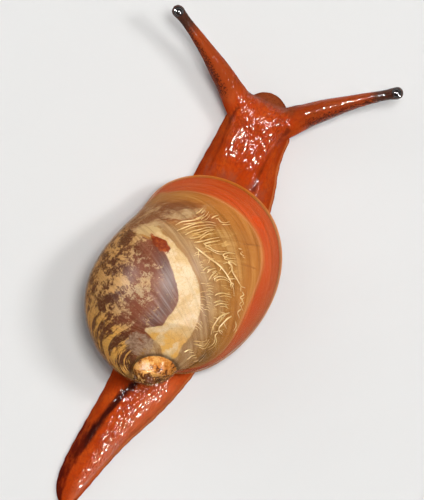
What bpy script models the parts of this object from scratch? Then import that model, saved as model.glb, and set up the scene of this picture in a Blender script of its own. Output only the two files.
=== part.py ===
"""A small land snail crawling with its shell on its back, as a still model at life size.

The origin is the centre of the sole, on the surface that the snail crawls on.
+Y points forward to the head, +X to the snail's right, +Z up.
Sizes and places are in millimetres until a mesh is made.
"""

import math

import bmesh
import bpy
from mathutils import Matrix, Vector

MM = 0.001
GAP = 0.3

# The shell: a tube that grows as it turns about the coiling axis, out to the lip at turn 0
COIL_POLE = Vector((0.36, -5.94, 7.75))
COIL_TURNED = math.radians(23.5)
COIL_RAISED = math.radians(29.8)
GROWTH_PER_TURN = 3.88
SHELL_TURNS = 2.6
LIP_HALF_LENGTH = 6.43
LIP_HALF_WIDTH = 5.22
LIP_TURNED = math.radians(-9.3)
LIP_EGG = 0.135
LIP_TUCK = 0.5
LIP_MIDDLE = (-0.09, 1.75)
LIP_HEIGHT = 2.6
LIP_PITCH = 0.098
LIP_ROLL = -0.041
SHELL_PAST_LIP = 0.02

# The mantle, a shallow dish of flesh that fills the shell's mouth: depth below the lip, share of the lip's size
MANTLE_STEPS = ((0.30, 0.91), (0.42, 0.935), (0.58, 0.92), (0.75, 0.84))

# The foot and the body over it, from the tail's tip to the head: Y, middle X, half width, height
BODY = (
    (-15.16, -1.26, 0.14, 0.40),
    (-15.06, -1.27, 0.36, 0.50),
    (-14.85, -1.30, 0.55, 0.63),
    (-14.50, -1.34, 0.74, 0.79),
    (-13.90, -1.37, 0.95, 0.98),
    (-13.00, -1.32, 1.13, 1.20),
    (-11.50, -1.12, 1.33, 1.45),
    (-9.70, -0.78, 1.56, 1.68),
    (-7.70, -0.31, 1.90, 1.80),
    (-6.10, -0.03, 2.16, 1.80),
    (-5.20, 0.05, 2.32, 1.58),
    (-3.90, 0.12, 2.52, 1.15),
    (-1.00, 0.10, 2.72, 1.36),
    (3.00, -0.02, 2.80, 1.76),
    (6.40, -0.16, 2.80, 2.10),
    (7.80, -0.26, 2.72, 2.28),
    (9.00, -0.38, 2.55, 2.62),
    (10.00, -0.50, 2.36, 2.80),
    (11.00, -0.57, 2.26, 2.85),
    (12.30, -0.58, 2.20, 2.80),
)
FRINGE_HEIGHT = 0.34
FRINGE_STEP = 0.15
FRINGE_STEP_LIMIT = 0.3
FRINGE_SIDE = ((0.60, 0.00), (0.00, 0.35), (0.15, 0.85))
FULL_FRINGE_BODY = 1.2
BACK_STARTS = 1.25
BACK_POINTS = 19
CREST = 0.88
RING_STEP = 0.42
TIP_CROWDING = 1.6
TAIL_ENDS = -5.2
FOOT_ENDS = 6.6
NECK_ENDS = 10.7

# The head: rounded masses as middle and half sizes
SOLE_FRONT = ((-0.58, 11.60, 0.00), (2.18, 1.78, 0.58))
HEAD_DOME = ((-0.60, 12.25, 1.62), (2.05, 1.60, 1.35))
BROW_LEFT = ((-1.75, 12.75, 1.95), (1.05, 1.05, 0.92))
BROW_RIGHT = ((0.62, 12.85, 1.95), (1.05, 1.05, 0.92))
SNOUT = ((-0.58, 13.12, 1.20), (1.42, 1.30, 0.88))
UPPER_LIP = ((-0.58, 13.72, 1.10), (0.98, 0.66, 0.48))
LOWER_LIP = ((0.44, 13.62, 0.66), (0.52, 0.58, 0.36))
SNOUT_MIDDLE = -0.58
MOUTH_HALF_WIDTH = 0.80
MOUTH_HEIGHT = 0.86
MOUTH_SAG = 0.20
MOUTH_SLIT_END = 0.32
MOUTH_DEPTH = 0.34
MOUTH_LINE_WIDTH = 0.13
MOUTH_BEGINS = 13.3
MASS_SIDES = 32
MASS_ROWS = 20
NECK_OVERLAP = 1.0
HEAD_VOXEL = 0.11
HEAD_TRIANGLES = 4200
HEAD_SMOOTHING = 14
LIPS_SMOOTHING = 3

# The eye tentacles: root, a middle guide point and tip of a smooth curve
TENTACLE_LEFT = ((-1.90, 12.50, 1.95), (-5.20, 14.95, 3.10), (-8.60, 16.50, 5.15))
TENTACLE_RIGHT = ((0.60, 12.70, 1.95), (3.375, 15.715, 3.10), (6.62, 17.93, 5.15))
TENTACLE_RADII = (
    (0.00, 1.02),
    (0.12, 0.93),
    (0.25, 0.79),
    (0.40, 0.67),
    (0.55, 0.52),
    (0.70, 0.42),
    (0.84, 0.355),
    (0.91, 0.37),
    (0.97, 0.43),
    (1.00, 0.43),
)
ROUND_END_DEGREES = (20, 40, 58, 74, 86)
TENTACLE_SIDES = 20
TENTACLE_ROWS = 64
STUMP_ENDS = 0.20
STUMP_OVERREACH = 0.05
LOWER_LENGTH_ENDS = 0.56
UPPER_LENGTH_ENDS = 0.88

# The small feelers beside the mouth
FEELER_ROOT = (1.10, 13.20, 0.90)
FEELER_DIRECTION = (0.92, 0.34, -0.14)
FEELER_LENGTH = 1.50
FEELER_ROOT_RADIUS = 0.33
FEELER_TIP_RADIUS = 0.27
FEELER_SEAT = 0.52
FEELER_SIDES = 14
SEAT_CUTTER_RADIUS = 0.5
SEAT_CUTTER_DEPTH = 0.6

SHELL_VOXEL = 0.11
SHELL_ROWS_PER_TURN = 90
SHELL_SIDES = 84
SHELL_TRIANGLES = 5200
MANTLE_SIDES = 64
SHARP_ANGLE = math.radians(40)

FLESH_COLOUR = (0.55, 0.055, 0.012, 1.0)
TENTACLE_TIP_COLOUR = (0.05, 0.022, 0.014, 1.0)
MANTLE_COLOUR = (0.60, 0.10, 0.03, 1.0)
SHELL_COLOUR = (0.42, 0.22, 0.07, 1.0)


def clear_scene():
    for piece in list(bpy.data.objects):
        bpy.data.objects.remove(piece, do_unlink=True)


def new_collection(name):
    collection = bpy.data.collections.new(name)
    bpy.context.scene.collection.children.link(collection)
    return collection


def new_material(name, colour, roughness):
    material = bpy.data.materials.new(name)
    material.use_nodes = True
    shader = material.node_tree.nodes["Principled BSDF"]
    shader.inputs["Base Color"].default_value = colour
    shader.inputs["Roughness"].default_value = roughness
    shader.inputs["Metallic"].default_value = 0.0
    return material


def new_piece(name, points, faces, material, collection):
    """A closed mesh object from points in millimetres, its faces turned outward."""
    mesh = bpy.data.meshes.new(name)
    mesh.from_pydata([Vector(point) * MM for point in points], [], faces)
    form = bmesh.new()
    form.from_mesh(mesh)
    bmesh.ops.recalc_face_normals(form, faces=form.faces)
    form.to_mesh(mesh)
    form.free()
    mesh.materials.append(material)
    mesh.shade_smooth()
    mesh.set_sharp_from_angle(angle=SHARP_ANGLE)
    piece = bpy.data.objects.new(name, mesh)
    collection.objects.link(piece)
    return piece


def loft(name, rings, material, collection):
    """A closed solid through rings of points, with a flat cap on each end ring."""
    count = len(rings[0])
    points = [point for ring in rings for point in ring]
    faces = [tuple(range(count)), tuple(range(len(points) - count, len(points)))]
    for row in range(len(rings) - 1):
        for side in range(count):
            here = row * count + side
            following = row * count + (side + 1) % count
            faces.append((here, following, following + count, here + count))
    return new_piece(name, points, faces, material, collection)


def apply_modifiers(piece):
    bpy.context.view_layer.update()
    graph = bpy.context.evaluated_depsgraph_get()
    mesh = bpy.data.meshes.new_from_object(piece.evaluated_get(graph))
    piece.modifiers.clear()
    piece.data = mesh


def keep_largest_surface(piece):
    """Drops every closed surface but the one that reaches furthest."""
    form = bmesh.new()
    form.from_mesh(piece.data)
    unseen = set(form.verts)
    surfaces = []
    while unseen:
        waiting = [unseen.pop()]
        surface = []
        while waiting:
            point = waiting.pop()
            surface.append(point)
            for edge in point.link_edges:
                other = edge.other_vert(point)
                if other in unseen:
                    unseen.remove(other)
                    waiting.append(other)
        surfaces.append(surface)
    surfaces.sort(key=len, reverse=True)
    for surface in surfaces[1:]:
        bmesh.ops.delete(form, geom=surface, context="VERTS")
    form.to_mesh(piece.data)
    form.free()


def fuse(piece, voxel, steps):
    """Joins a piece's overlapping surfaces into one skin and smooths it."""
    remesh = piece.modifiers.new("fuse", "REMESH")
    remesh.mode = "VOXEL"
    remesh.voxel_size = voxel * MM
    if steps:
        smooth = piece.modifiers.new("smooth", "SMOOTH")
        smooth.iterations = steps
        smooth.factor = 0.5
    apply_modifiers(piece)
    keep_largest_surface(piece)


def thin_out(piece, triangles):
    decimate = piece.modifiers.new("thin_out", "DECIMATE")
    decimate.ratio = triangles / (2 * len(piece.data.polygons))
    apply_modifiers(piece)


def cut_flat(piece, point, normal):
    """Cuts away what lies on the normal's side of a plane, and closes the cut with a flat face."""
    form = bmesh.new()
    form.from_mesh(piece.data)
    everything = form.verts[:] + form.edges[:] + form.faces[:]
    cut = bmesh.ops.bisect_plane(
        form, geom=everything, plane_co=Vector(point) * MM, plane_no=Vector(normal), clear_outer=True
    )
    rim = [item for item in cut["geom_cut"] if isinstance(item, bmesh.types.BMEdge)]
    bmesh.ops.edgenet_fill(form, edges=rim)
    bmesh.ops.recalc_face_normals(form, faces=form.faces)
    form.to_mesh(piece.data)
    form.free()
    keep_largest_surface(piece)


def join(name, pieces, material, collection):
    """One object holding every piece's surface, with the pieces themselves removed."""
    form = bmesh.new()
    for piece in pieces:
        form.from_mesh(piece.data)
    mesh = bpy.data.meshes.new(name)
    form.to_mesh(mesh)
    form.free()
    mesh.materials.append(material)
    joined = bpy.data.objects.new(name, mesh)
    collection.objects.link(joined)
    for piece in pieces:
        bpy.data.objects.remove(piece, do_unlink=True)
    return joined


def smooth_between(stations, place):
    """The values at a place along stations, on a curve that runs smoothly through them."""
    place = min(max(place, stations[0][0]), stations[-1][0])
    row = 0
    while place > stations[row + 1][0]:
        row += 1
    start, end = stations[row], stations[row + 1]
    before = stations[max(row - 1, 0)]
    after = stations[min(row + 2, len(stations) - 1)]
    span = end[0] - start[0]
    share = (place - start[0]) / span
    values = []
    for column in range(1, len(start)):
        slope_in = (end[column] - before[column]) / (end[0] - before[0]) * span
        slope_out = (after[column] - start[column]) / (after[0] - start[0]) * span
        values.append(
            start[column] * (2 * share**3 - 3 * share**2 + 1)
            + slope_in * (share**3 - 2 * share**2 + share)
            + end[column] * (3 * share**2 - 2 * share**3)
            + slope_out * (share**3 - share**2)
        )
    return values


def lip_height(x, y):
    return LIP_HEIGHT + LIP_PITCH * y + LIP_ROLL * x


def lip_point(angle, scale=1.0, drop=0.0):
    """A point of the lip, at an angle from its front end over its right side, in the lip's own plane.

    Behind on the left it tucks in, where the lip lies against the older whorl.
    """
    along = scale * LIP_HALF_LENGTH * math.cos(angle)
    across = scale * LIP_HALF_WIDTH * math.sin(angle) * (1 + LIP_EGG * math.cos(angle))
    across *= 1 - LIP_TUCK * max(0.0, -math.sin(angle)) * (1 - math.cos(angle)) / 2
    x = LIP_MIDDLE[0] + across * math.cos(LIP_TURNED) + along * math.sin(LIP_TURNED)
    y = LIP_MIDDLE[1] - across * math.sin(LIP_TURNED) + along * math.cos(LIP_TURNED)
    return Vector((x, y, lip_height(x, y) - drop))


def coil_axis():
    """The direction from the shell's mouth to its apex: backward, up and to the right."""
    level = math.cos(COIL_RAISED)
    return Vector((level * math.sin(COIL_TURNED), -level * math.cos(COIL_TURNED), math.sin(COIL_RAISED)))


def whorl_point(turn, angle):
    """A point of the shell's tube, a number of turns from the lip (negative is older shell)."""
    turned = Matrix.Rotation(-2 * math.pi * turn, 3, coil_axis())
    return COIL_POLE + GROWTH_PER_TURN**turn * (turned @ (lip_point(angle) - COIL_POLE))


def circle(count):
    return [2 * math.pi * side / count for side in range(count)]


def make_shell(material, collection):
    """The whole shell with its earlier whorls, cut flat at the lip."""
    rows = round(SHELL_ROWS_PER_TURN * SHELL_TURNS)
    turns = [-SHELL_TURNS + (SHELL_TURNS + SHELL_PAST_LIP) * row / rows for row in range(rows + 1)]
    rings = [[whorl_point(turn, angle) for angle in circle(SHELL_SIDES)] for turn in turns]
    shell = loft("shell", rings, material, collection)
    fuse(shell, SHELL_VOXEL, 1)
    thin_out(shell, SHELL_TRIANGLES)
    cut_flat(shell, (0, 0, LIP_HEIGHT), (LIP_ROLL, LIP_PITCH, -1))
    return shell


def make_mantle(material, collection):
    rings = [[lip_point(angle, scale, drop) for angle in circle(MANTLE_SIDES)] for drop, scale in MANTLE_STEPS]
    return loft("mantle_collar", rings, material, collection)


def body_ring(y):
    """The body's outline across at one place: flat sole, fringe, groove over it, and the rounded back."""
    middle, half_width, height = smooth_between(BODY, y)
    size = min(1.0, height / FULL_FRINGE_BODY)
    fringe = FRINGE_HEIGHT * size
    step = min(FRINGE_STEP * size, half_width * FRINGE_STEP_LIMIT)
    base = fringe * BACK_STARTS
    side = [(half_width - step * inset, fringe * share) for inset, share in FRINGE_SIDE]
    back = []
    for row in range(BACK_POINTS):
        angle = math.pi * row / (BACK_POINTS - 1)
        across = (half_width - step) * math.cos(angle)
        back.append((across, base + (height - base) * math.sin(angle) ** CREST))
    outline = side + back + [(-x, z) for x, z in reversed(side)]
    return [Vector((middle + x, y, z)) for x, z in outline]


def body_rings(start, end, crowding=1.0):
    rows = max(2, round((end - start) / RING_STEP))
    return [body_ring(start + (end - start) * (row / rows) ** crowding) for row in range(rows + 1)]


def ellipsoid(name, middle, half_sizes, material, collection):
    """A rounded mass for the head."""
    form = bmesh.new()
    bmesh.ops.create_uvsphere(form, u_segments=MASS_SIDES, v_segments=MASS_ROWS, radius=MM)
    bmesh.ops.scale(form, vec=Vector(half_sizes), verts=form.verts)
    bmesh.ops.translate(form, vec=Vector(middle) * MM, verts=form.verts)
    mesh = bpy.data.meshes.new(name)
    form.to_mesh(mesh)
    form.free()
    mesh.materials.append(material)
    piece = bpy.data.objects.new(name, mesh)
    collection.objects.link(piece)
    return piece


def tube_ring(middle, direction, radius, count):
    across = direction.cross(Vector((0, 0, 1))).normalized()
    upward = across.cross(direction)
    return [middle + radius * (math.cos(a) * across + math.sin(a) * upward) for a in circle(count)]


def round_end(middle, direction, radius, count):
    """The last rings of a tube, closing it as a half ball just past its middle point."""
    angles = [math.radians(degrees) for degrees in ROUND_END_DEGREES]
    return [
        tube_ring(middle + direction * radius * math.sin(a), direction, radius * math.cos(a), count)
        for a in angles
    ]


def curve_point(route, share):
    root, guide, tip = (Vector(point) for point in route)
    return root * (1 - share) ** 2 + guide * 2 * share * (1 - share) + tip * share**2


def curve_direction(route, share):
    root, guide, tip = (Vector(point) for point in route)
    return ((guide - root) * (1 - share) + (tip - guide) * share).normalized()


def gap_share(route):
    """The share of a tentacle's curve that the gap between two lengths takes."""
    root, guide, tip = (Vector(point) for point in route)
    return GAP / ((guide - root).length + (tip - guide).length)


def tentacle_rings(route, start, end):
    rows = max(3, round((end - start) * TENTACLE_ROWS))
    rings = []
    for row in range(rows + 1):
        share = start + (end - start) * row / rows
        radius = smooth_between(TENTACLE_RADII, share)[0]
        rings.append(tube_ring(curve_point(route, share), curve_direction(route, share), radius, TENTACLE_SIDES))
    return rings


def make_tentacle(side, route, flesh, tip, collection):
    """Two lengths of the tentacle and the bulb with the eye, each face to face with the one before."""
    gap = gap_share(route)
    lower_starts = STUMP_ENDS + gap
    upper_starts = LOWER_LENGTH_ENDS + gap
    eye_starts = UPPER_LENGTH_ENDS + gap
    bulb_radius = TENTACLE_RADII[-1][1]
    bulb_middle = 1 - bulb_radius / GAP * gap
    loft(f"tentacle_{side}_lower", tentacle_rings(route, lower_starts, LOWER_LENGTH_ENDS), flesh, collection)
    loft(f"tentacle_{side}_upper", tentacle_rings(route, upper_starts, UPPER_LENGTH_ENDS), flesh, collection)
    bulb = tentacle_rings(route, eye_starts, bulb_middle)
    direction = curve_direction(route, bulb_middle)
    bulb += round_end(curve_point(route, bulb_middle), direction, bulb_radius, TENTACLE_SIDES)
    loft(f"eye_{side}", bulb, tip, collection)


def feeler_line(side):
    """Root and direction of a small feeler; side is 1 on the right and -1 on the left."""
    root = Vector((SNOUT_MIDDLE + side * FEELER_ROOT[0], FEELER_ROOT[1], FEELER_ROOT[2]))
    direction = Vector((side * FEELER_DIRECTION[0], FEELER_DIRECTION[1], FEELER_DIRECTION[2])).normalized()
    return root, direction


def make_feeler(name, side, material, collection):
    root, direction = feeler_line(side)
    start = FEELER_SEAT + GAP
    rings = [tube_ring(root + direction * start, direction, FEELER_ROOT_RADIUS, FEELER_SIDES)]
    end = root + direction * (FEELER_LENGTH - FEELER_TIP_RADIUS)
    rings.append(tube_ring(end, direction, FEELER_TIP_RADIUS, FEELER_SIDES))
    rings += round_end(end, direction, FEELER_TIP_RADIUS, FEELER_SIDES)
    return loft(name, rings, material, collection)


def head_masses(material, collection):
    """The overlapping forms that the head is fused from, out to the stumps of the tentacles."""
    masses = [loft("mass", body_rings(NECK_ENDS - NECK_OVERLAP, BODY[-1][0]), material, collection)]
    for middle, half_sizes in (SOLE_FRONT, HEAD_DOME, BROW_LEFT, BROW_RIGHT, SNOUT):
        masses.append(ellipsoid("mass", middle, half_sizes, material, collection))
    for route in (TENTACLE_LEFT, TENTACLE_RIGHT):
        stump = tentacle_rings(route, 0.0, STUMP_ENDS + STUMP_OVERREACH)
        masses.append(loft("mass", stump, material, collection))
    return masses


def cut_seat(piece, point, direction, cutters):
    """Cuts a feeler's stub off square, with a short round cutter that starts at the seat."""
    reach = (point, point + direction * SEAT_CUTTER_DEPTH)
    rings = [tube_ring(end, direction, SEAT_CUTTER_RADIUS, FEELER_SIDES) for end in reach]
    cutter = loft("seat_cutter", rings, piece.data.materials[0], cutters)
    cutter.hide_render = True
    cutter.display_type = "WIRE"
    cut = piece.modifiers.new("seat", "BOOLEAN")
    cut.operation = "DIFFERENCE"
    cut.object = cutter
    apply_modifiers(piece)
    bpy.data.objects.remove(cutter, do_unlink=True)
    keep_largest_surface(piece)


def lip_masses(material, collection):
    """The lips and the seats of the small feelers, which stay crisper than the rest of the head."""
    masses = [ellipsoid("mass", *UPPER_LIP, material, collection)]
    for side in (-1, 1):
        offset, half_sizes = LOWER_LIP
        middle = (SNOUT_MIDDLE + side * offset[0], offset[1], offset[2])
        masses.append(ellipsoid("mass", middle, half_sizes, material, collection))
        root, direction = feeler_line(side)
        reach = (0.0, FEELER_SEAT + GAP)
        rings = [tube_ring(root + direction * r, direction, FEELER_ROOT_RADIUS, FEELER_SIDES) for r in reach]
        masses.append(loft("mass", rings, material, collection))
    return masses


def distance_to_mouth(x, z):
    """How far a point of the face is from the mouth's curved line or from the slit below its middle."""
    across = min(max(x - SNOUT_MIDDLE, -MOUTH_HALF_WIDTH), MOUTH_HALF_WIDTH)
    line_height = MOUTH_HEIGHT - MOUTH_SAG * (across / MOUTH_HALF_WIDTH) ** 2
    to_line = math.hypot(x - SNOUT_MIDDLE - across, z - line_height)
    slit_height = min(max(z, MOUTH_SLIT_END), MOUTH_HEIGHT)
    to_slit = math.hypot(x - SNOUT_MIDDLE, z - slit_height)
    return min(to_line, to_slit)


def press_mouth(head):
    """Presses the line of the mouth into the front of the face."""
    for vertex in head.data.vertices:
        x, y, z = vertex.co / MM
        if y > MOUTH_BEGINS and vertex.normal.y > 0:
            depth = MOUTH_DEPTH * math.exp(-((distance_to_mouth(x, z) / MOUTH_LINE_WIDTH) ** 2))
            vertex.co.y -= depth * MM


def make_head(material, collection, cutters):
    """The head with snout, lips, mouth and the stumps of the tentacles, on its own length of sole."""
    face = join("face", head_masses(material, collection), material, collection)
    fuse(face, HEAD_VOXEL, HEAD_SMOOTHING)
    head = join("head", [face] + lip_masses(material, collection), material, collection)
    fuse(head, HEAD_VOXEL, LIPS_SMOOTHING)
    press_mouth(head)
    thin_out(head, HEAD_TRIANGLES)
    cut_flat(head, (0, 0, 0), (0, 0, -1))
    cut_flat(head, (0, NECK_ENDS + GAP, 0), (0, -1, 0))
    for route in (TENTACLE_LEFT, TENTACLE_RIGHT):
        cut_flat(head, curve_point(route, STUMP_ENDS), curve_direction(route, STUMP_ENDS))
    for side in (-1, 1):
        root, direction = feeler_line(side)
        cut_seat(head, root + direction * FEELER_SEAT, direction, cutters)
    return head


def main():
    clear_scene()
    snail = new_collection("snail")
    cutters = new_collection("cutters")
    flesh = new_material("flesh", FLESH_COLOUR, 0.25)
    tip = new_material("tentacle_tip", TENTACLE_TIP_COLOUR, 0.2)
    mantle = new_material("mantle", MANTLE_COLOUR, 0.3)
    shell = new_material("shell", SHELL_COLOUR, 0.2)
    make_shell(shell, snail)
    make_mantle(mantle, snail)
    loft("tail", body_rings(BODY[0][0], TAIL_ENDS, TIP_CROWDING), flesh, snail)
    loft("foot", body_rings(TAIL_ENDS + GAP, FOOT_ENDS), flesh, snail)
    loft("neck", body_rings(FOOT_ENDS + GAP, NECK_ENDS), flesh, snail)
    make_head(flesh, snail, cutters)
    make_tentacle("left", TENTACLE_LEFT, flesh, tip, snail)
    make_tentacle("right", TENTACLE_RIGHT, flesh, tip, snail)
    make_feeler("feeler_left", -1, flesh, snail)
    make_feeler("feeler_right", 1, flesh, snail)


main()
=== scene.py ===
"""The looks of a small amber snail on the move: wet skin, thin shell over a marked body, eyes, light and camera.

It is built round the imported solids, in their frame: +Y forward to the head, +X to the snail's right, +Z up, with
the sole on Z = 0. Sizes and places are in millimetres until a mesh is made.
"""

import math
import random
from contextlib import contextmanager

import bmesh
import bpy
import numpy as np
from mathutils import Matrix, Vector, noise
from mathutils.bvhtree import BVHTree
from mathutils.kdtree import KDTree

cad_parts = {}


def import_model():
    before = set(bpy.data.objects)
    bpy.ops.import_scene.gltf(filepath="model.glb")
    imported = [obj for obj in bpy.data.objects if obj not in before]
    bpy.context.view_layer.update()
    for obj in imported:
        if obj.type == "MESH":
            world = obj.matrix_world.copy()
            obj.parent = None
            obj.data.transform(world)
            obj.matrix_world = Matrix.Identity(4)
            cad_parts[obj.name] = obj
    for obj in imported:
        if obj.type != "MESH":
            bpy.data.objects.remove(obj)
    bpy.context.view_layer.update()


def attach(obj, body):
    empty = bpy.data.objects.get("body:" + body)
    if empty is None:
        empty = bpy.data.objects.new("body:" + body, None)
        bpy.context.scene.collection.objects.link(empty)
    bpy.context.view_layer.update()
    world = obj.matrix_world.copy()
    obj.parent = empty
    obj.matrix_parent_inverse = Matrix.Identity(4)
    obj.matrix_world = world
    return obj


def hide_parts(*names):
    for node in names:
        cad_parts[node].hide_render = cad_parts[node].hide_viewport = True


MM = 0.001
SEED = 11

# The shell: a tube that grows as it turns about the coiling axis, out to the lip at turn 0
COIL_POLE = np.array((0.36, -5.94, 7.75))
COIL_TURNED = math.radians(23.5)
COIL_RAISED = math.radians(29.8)
GROWTH_PER_TURN = 3.88
SHELL_TURNS = 2.6
LIP_HALF_LENGTH = 6.43
LIP_HALF_WIDTH = 5.22
LIP_TURNED = math.radians(-9.3)
LIP_EGG = 0.135
LIP_TUCK = 0.5
LIP_MIDDLE = (-0.09, 1.75)
LIP_HEIGHT = 2.6
LIP_PITCH = 0.098
LIP_ROLL = -0.041
SHOULDER = ((-0.10, -2.30, 6.35), (2.75, 2.45, 2.52))
SHELL_PAST_LIP = 0.02
SHELL_ROWS = 313
SHELL_SIDES = 120
SHELL_VOXEL = 0.10
WALL_THICKNESS = 0.06
BODY_BELOW_SHELL = 0.10
GROWTH_RELIEF = 0.016

# The mantle's edge that fills the shell's mouth: depth below the lip, share of the lip's size
MANTLE_STEPS = (
    (-0.30, 0.80),
    (-0.10, 0.93),
    (0.10, 0.96),
    (0.28, 0.965),
    (0.46, 0.945),
    (0.62, 0.89),
    (0.74, 0.78),
    (0.80, 0.62),
)
PEDICEL = ((-0.05, 2.00, 1.75), (2.25, 4.60, 0.95))

# The foot and the body over it, from the tail's tip to the head: Y, middle X, half width, height
BODY = (
    (-15.16, -1.26, 0.14, 0.40),
    (-15.06, -1.27, 0.36, 0.50),
    (-14.85, -1.30, 0.55, 0.63),
    (-14.50, -1.34, 0.74, 0.79),
    (-13.90, -1.37, 0.95, 0.98),
    (-13.00, -1.32, 1.13, 1.20),
    (-11.50, -1.12, 1.33, 1.45),
    (-9.70, -0.78, 1.56, 1.68),
    (-7.70, -0.31, 1.90, 1.80),
    (-6.10, -0.03, 2.16, 1.80),
    (-5.20, 0.05, 2.32, 1.58),
    (-3.90, 0.12, 2.52, 1.15),
    (-1.00, 0.10, 2.72, 1.36),
    (3.00, -0.02, 2.80, 1.76),
    (6.40, -0.16, 2.80, 2.10),
    (7.80, -0.26, 2.72, 2.28),
    (9.00, -0.38, 2.55, 2.62),
    (10.00, -0.50, 2.36, 2.80),
    (11.00, -0.57, 2.26, 2.85),
    (12.30, -0.58, 2.20, 2.80),
)
FRINGE_HEIGHT = 0.36
FRINGE_STEP_LEFT = 0.10
FRINGE_STEP_RIGHT = 0.24
FRINGE_STEP_LIMIT = 0.3
FRINGE_SIDE = ((0.60, 0.00), (0.00, 0.35), (0.05, 0.80), (0.35, 1.00))
FULL_FRINGE_BODY = 1.2
BACK_STARTS = 1.18
BACK_POINTS = 41
CREST = 0.88
RING_STEP = 0.12
TIP_CROWDING = 1.3

# The head: rounded masses as middle and half sizes
SOLE_FRONT = ((-0.58, 11.60, 0.00), (2.18, 1.78, 0.58))
HEAD_DOME = ((-0.60, 12.25, 1.62), (2.05, 1.60, 1.35))
BROW_LEFT = ((-1.75, 12.75, 1.95), (1.05, 1.05, 0.92))
BROW_RIGHT = ((0.62, 12.85, 1.95), (1.05, 1.05, 0.92))
SNOUT = ((-0.58, 13.12, 1.20), (1.42, 1.30, 0.88))
UPPER_LIP = ((-0.58, 13.72, 1.10), (0.98, 0.66, 0.48))
LOWER_LIP = ((0.44, 13.62, 0.66), (0.52, 0.58, 0.36))
SNOUT_MIDDLE = -0.58
MOUTH_HALF_WIDTH = 0.80
MOUTH_HEIGHT = 0.86
MOUTH_SAG = 0.20
MOUTH_SLIT_END = 0.32
MOUTH_DEPTH = 0.34
MOUTH_LINE_WIDTH = 0.11
MOUTH_BEGINS = 13.3
SKIN_VOXEL = 0.085
SKIN_TRIANGLES = 196_000
HEAD_SMOOTHING = 26
SKIN_SMOOTHING = 4

# The eye tentacles: root, a middle guide point and tip of a smooth curve
TENTACLE_LEFT = ((-1.90, 12.50, 1.95), (-5.20, 14.95, 3.10), (-8.60, 16.50, 5.15))
TENTACLE_RIGHT = ((0.60, 12.70, 1.95), (3.375, 15.715, 3.10), (6.62, 17.93, 5.15))
TENTACLE_RADII = (
    (0.00, 1.02),
    (0.12, 0.93),
    (0.25, 0.79),
    (0.40, 0.67),
    (0.55, 0.52),
    (0.70, 0.42),
    (0.84, 0.355),
    (0.91, 0.37),
    (0.97, 0.43),
    (1.00, 0.43),
)
TENTACLE_SIDES = 40
TENTACLE_ROWS = 120
TENTACLE_BULB_STARTS = 0.966
ROUND_END_DEGREES = (15, 30, 44, 57, 69, 80, 87)
EYE_SHARE = 0.965
EYE_RADIUS = 0.25

# The small feelers beside the mouth
FEELER_ROOT = (1.10, 13.20, 0.90)
FEELER_DIRECTION = (0.92, 0.34, -0.14)
FEELER_LENGTH = 1.50
FEELER_ROOT_RADIUS = 0.33
FEELER_TIP_RADIUS = 0.27
FEELER_SIDES = 24

# Marks on the body under the shell, as seen from above: X, Y and half width
KIDNEY = (
    (-3.30, 3.05, 0.20),
    (-2.85, 2.90, 0.32),
    (-2.25, 2.62, 0.40),
    (-1.42, 2.12, 0.54),
    (-0.72, 1.54, 0.61),
    (-0.08, 0.84, 0.67),
    (0.36, 0.04, 0.70),
    (0.50, -0.82, 0.82),
    (0.42, -1.66, 0.90),
    (0.34, -2.44, 0.86),
    (0.58, -3.15, 0.56),
)
KIDNEY_FOOT = ((-1.30, -2.62, 0.14), (-0.60, -2.55, 0.50), (0.10, -2.45, 0.76))
HEART = ((-3.65, 2.80, 0.12), (-3.20, 2.72, 0.28), (-2.75, 2.60, 0.38), (-2.52, 2.58, 0.34))
CREAM_PATCH = ((-4.40, 2.85, 0.25), (-3.85, 3.10, 0.38), (-3.40, 3.20, 0.26))
UPPER_STREAKS = (
    (-5.60, 1.60, 0.35),
    (-5.10, 2.70, 0.60),
    (-4.30, 3.75, 0.75),
    (-3.20, 4.75, 0.70),
    (-2.10, 5.55, 0.50),
    (-1.20, 6.20, 0.25),
)
CROSS_BANDS = (
    ((1.60, 4.80, 0.02), (2.20, 5.05, 0.06), (3.30, 5.40, 0.03)),
    ((2.25, 3.72, 0.02), (2.70, 3.78, 0.06), (3.30, 3.84, 0.02)),
)
BRIGHT_SPOT = ((1.70, 6.75, 0.16), (2.10, 6.60, 0.30), (2.55, 6.35, 0.10))
DARK_ZONE_BORDER = ((-6.2, 5.1), (-3.2, 3.3), (-1.6, 1.9), (-0.5, 0.6), (-0.1, -0.9), (-0.7, -2.4), (-1.2, -4.2))
OLD_SHELL_TURN = -0.80
SUTURE_TURN = -1.16
SPIRE_TURNS = (-1.6, -0.78, 60)

# The bright apex as the picture shows it, along the picture's right and top, and the filled suture over it
APEX_MIDDLE = (0.28, -4.83)
APEX_HALF_SIZES = (1.37, 0.99)
FILL_BESIDE_APEX = 0.40
FILL_OVER_APEX = 1.50
FILL_HALF_SIZES = (2.8, 1.45)
FILL_ABOVE = 5.5
FILL_SMOOTHING = 400

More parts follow.
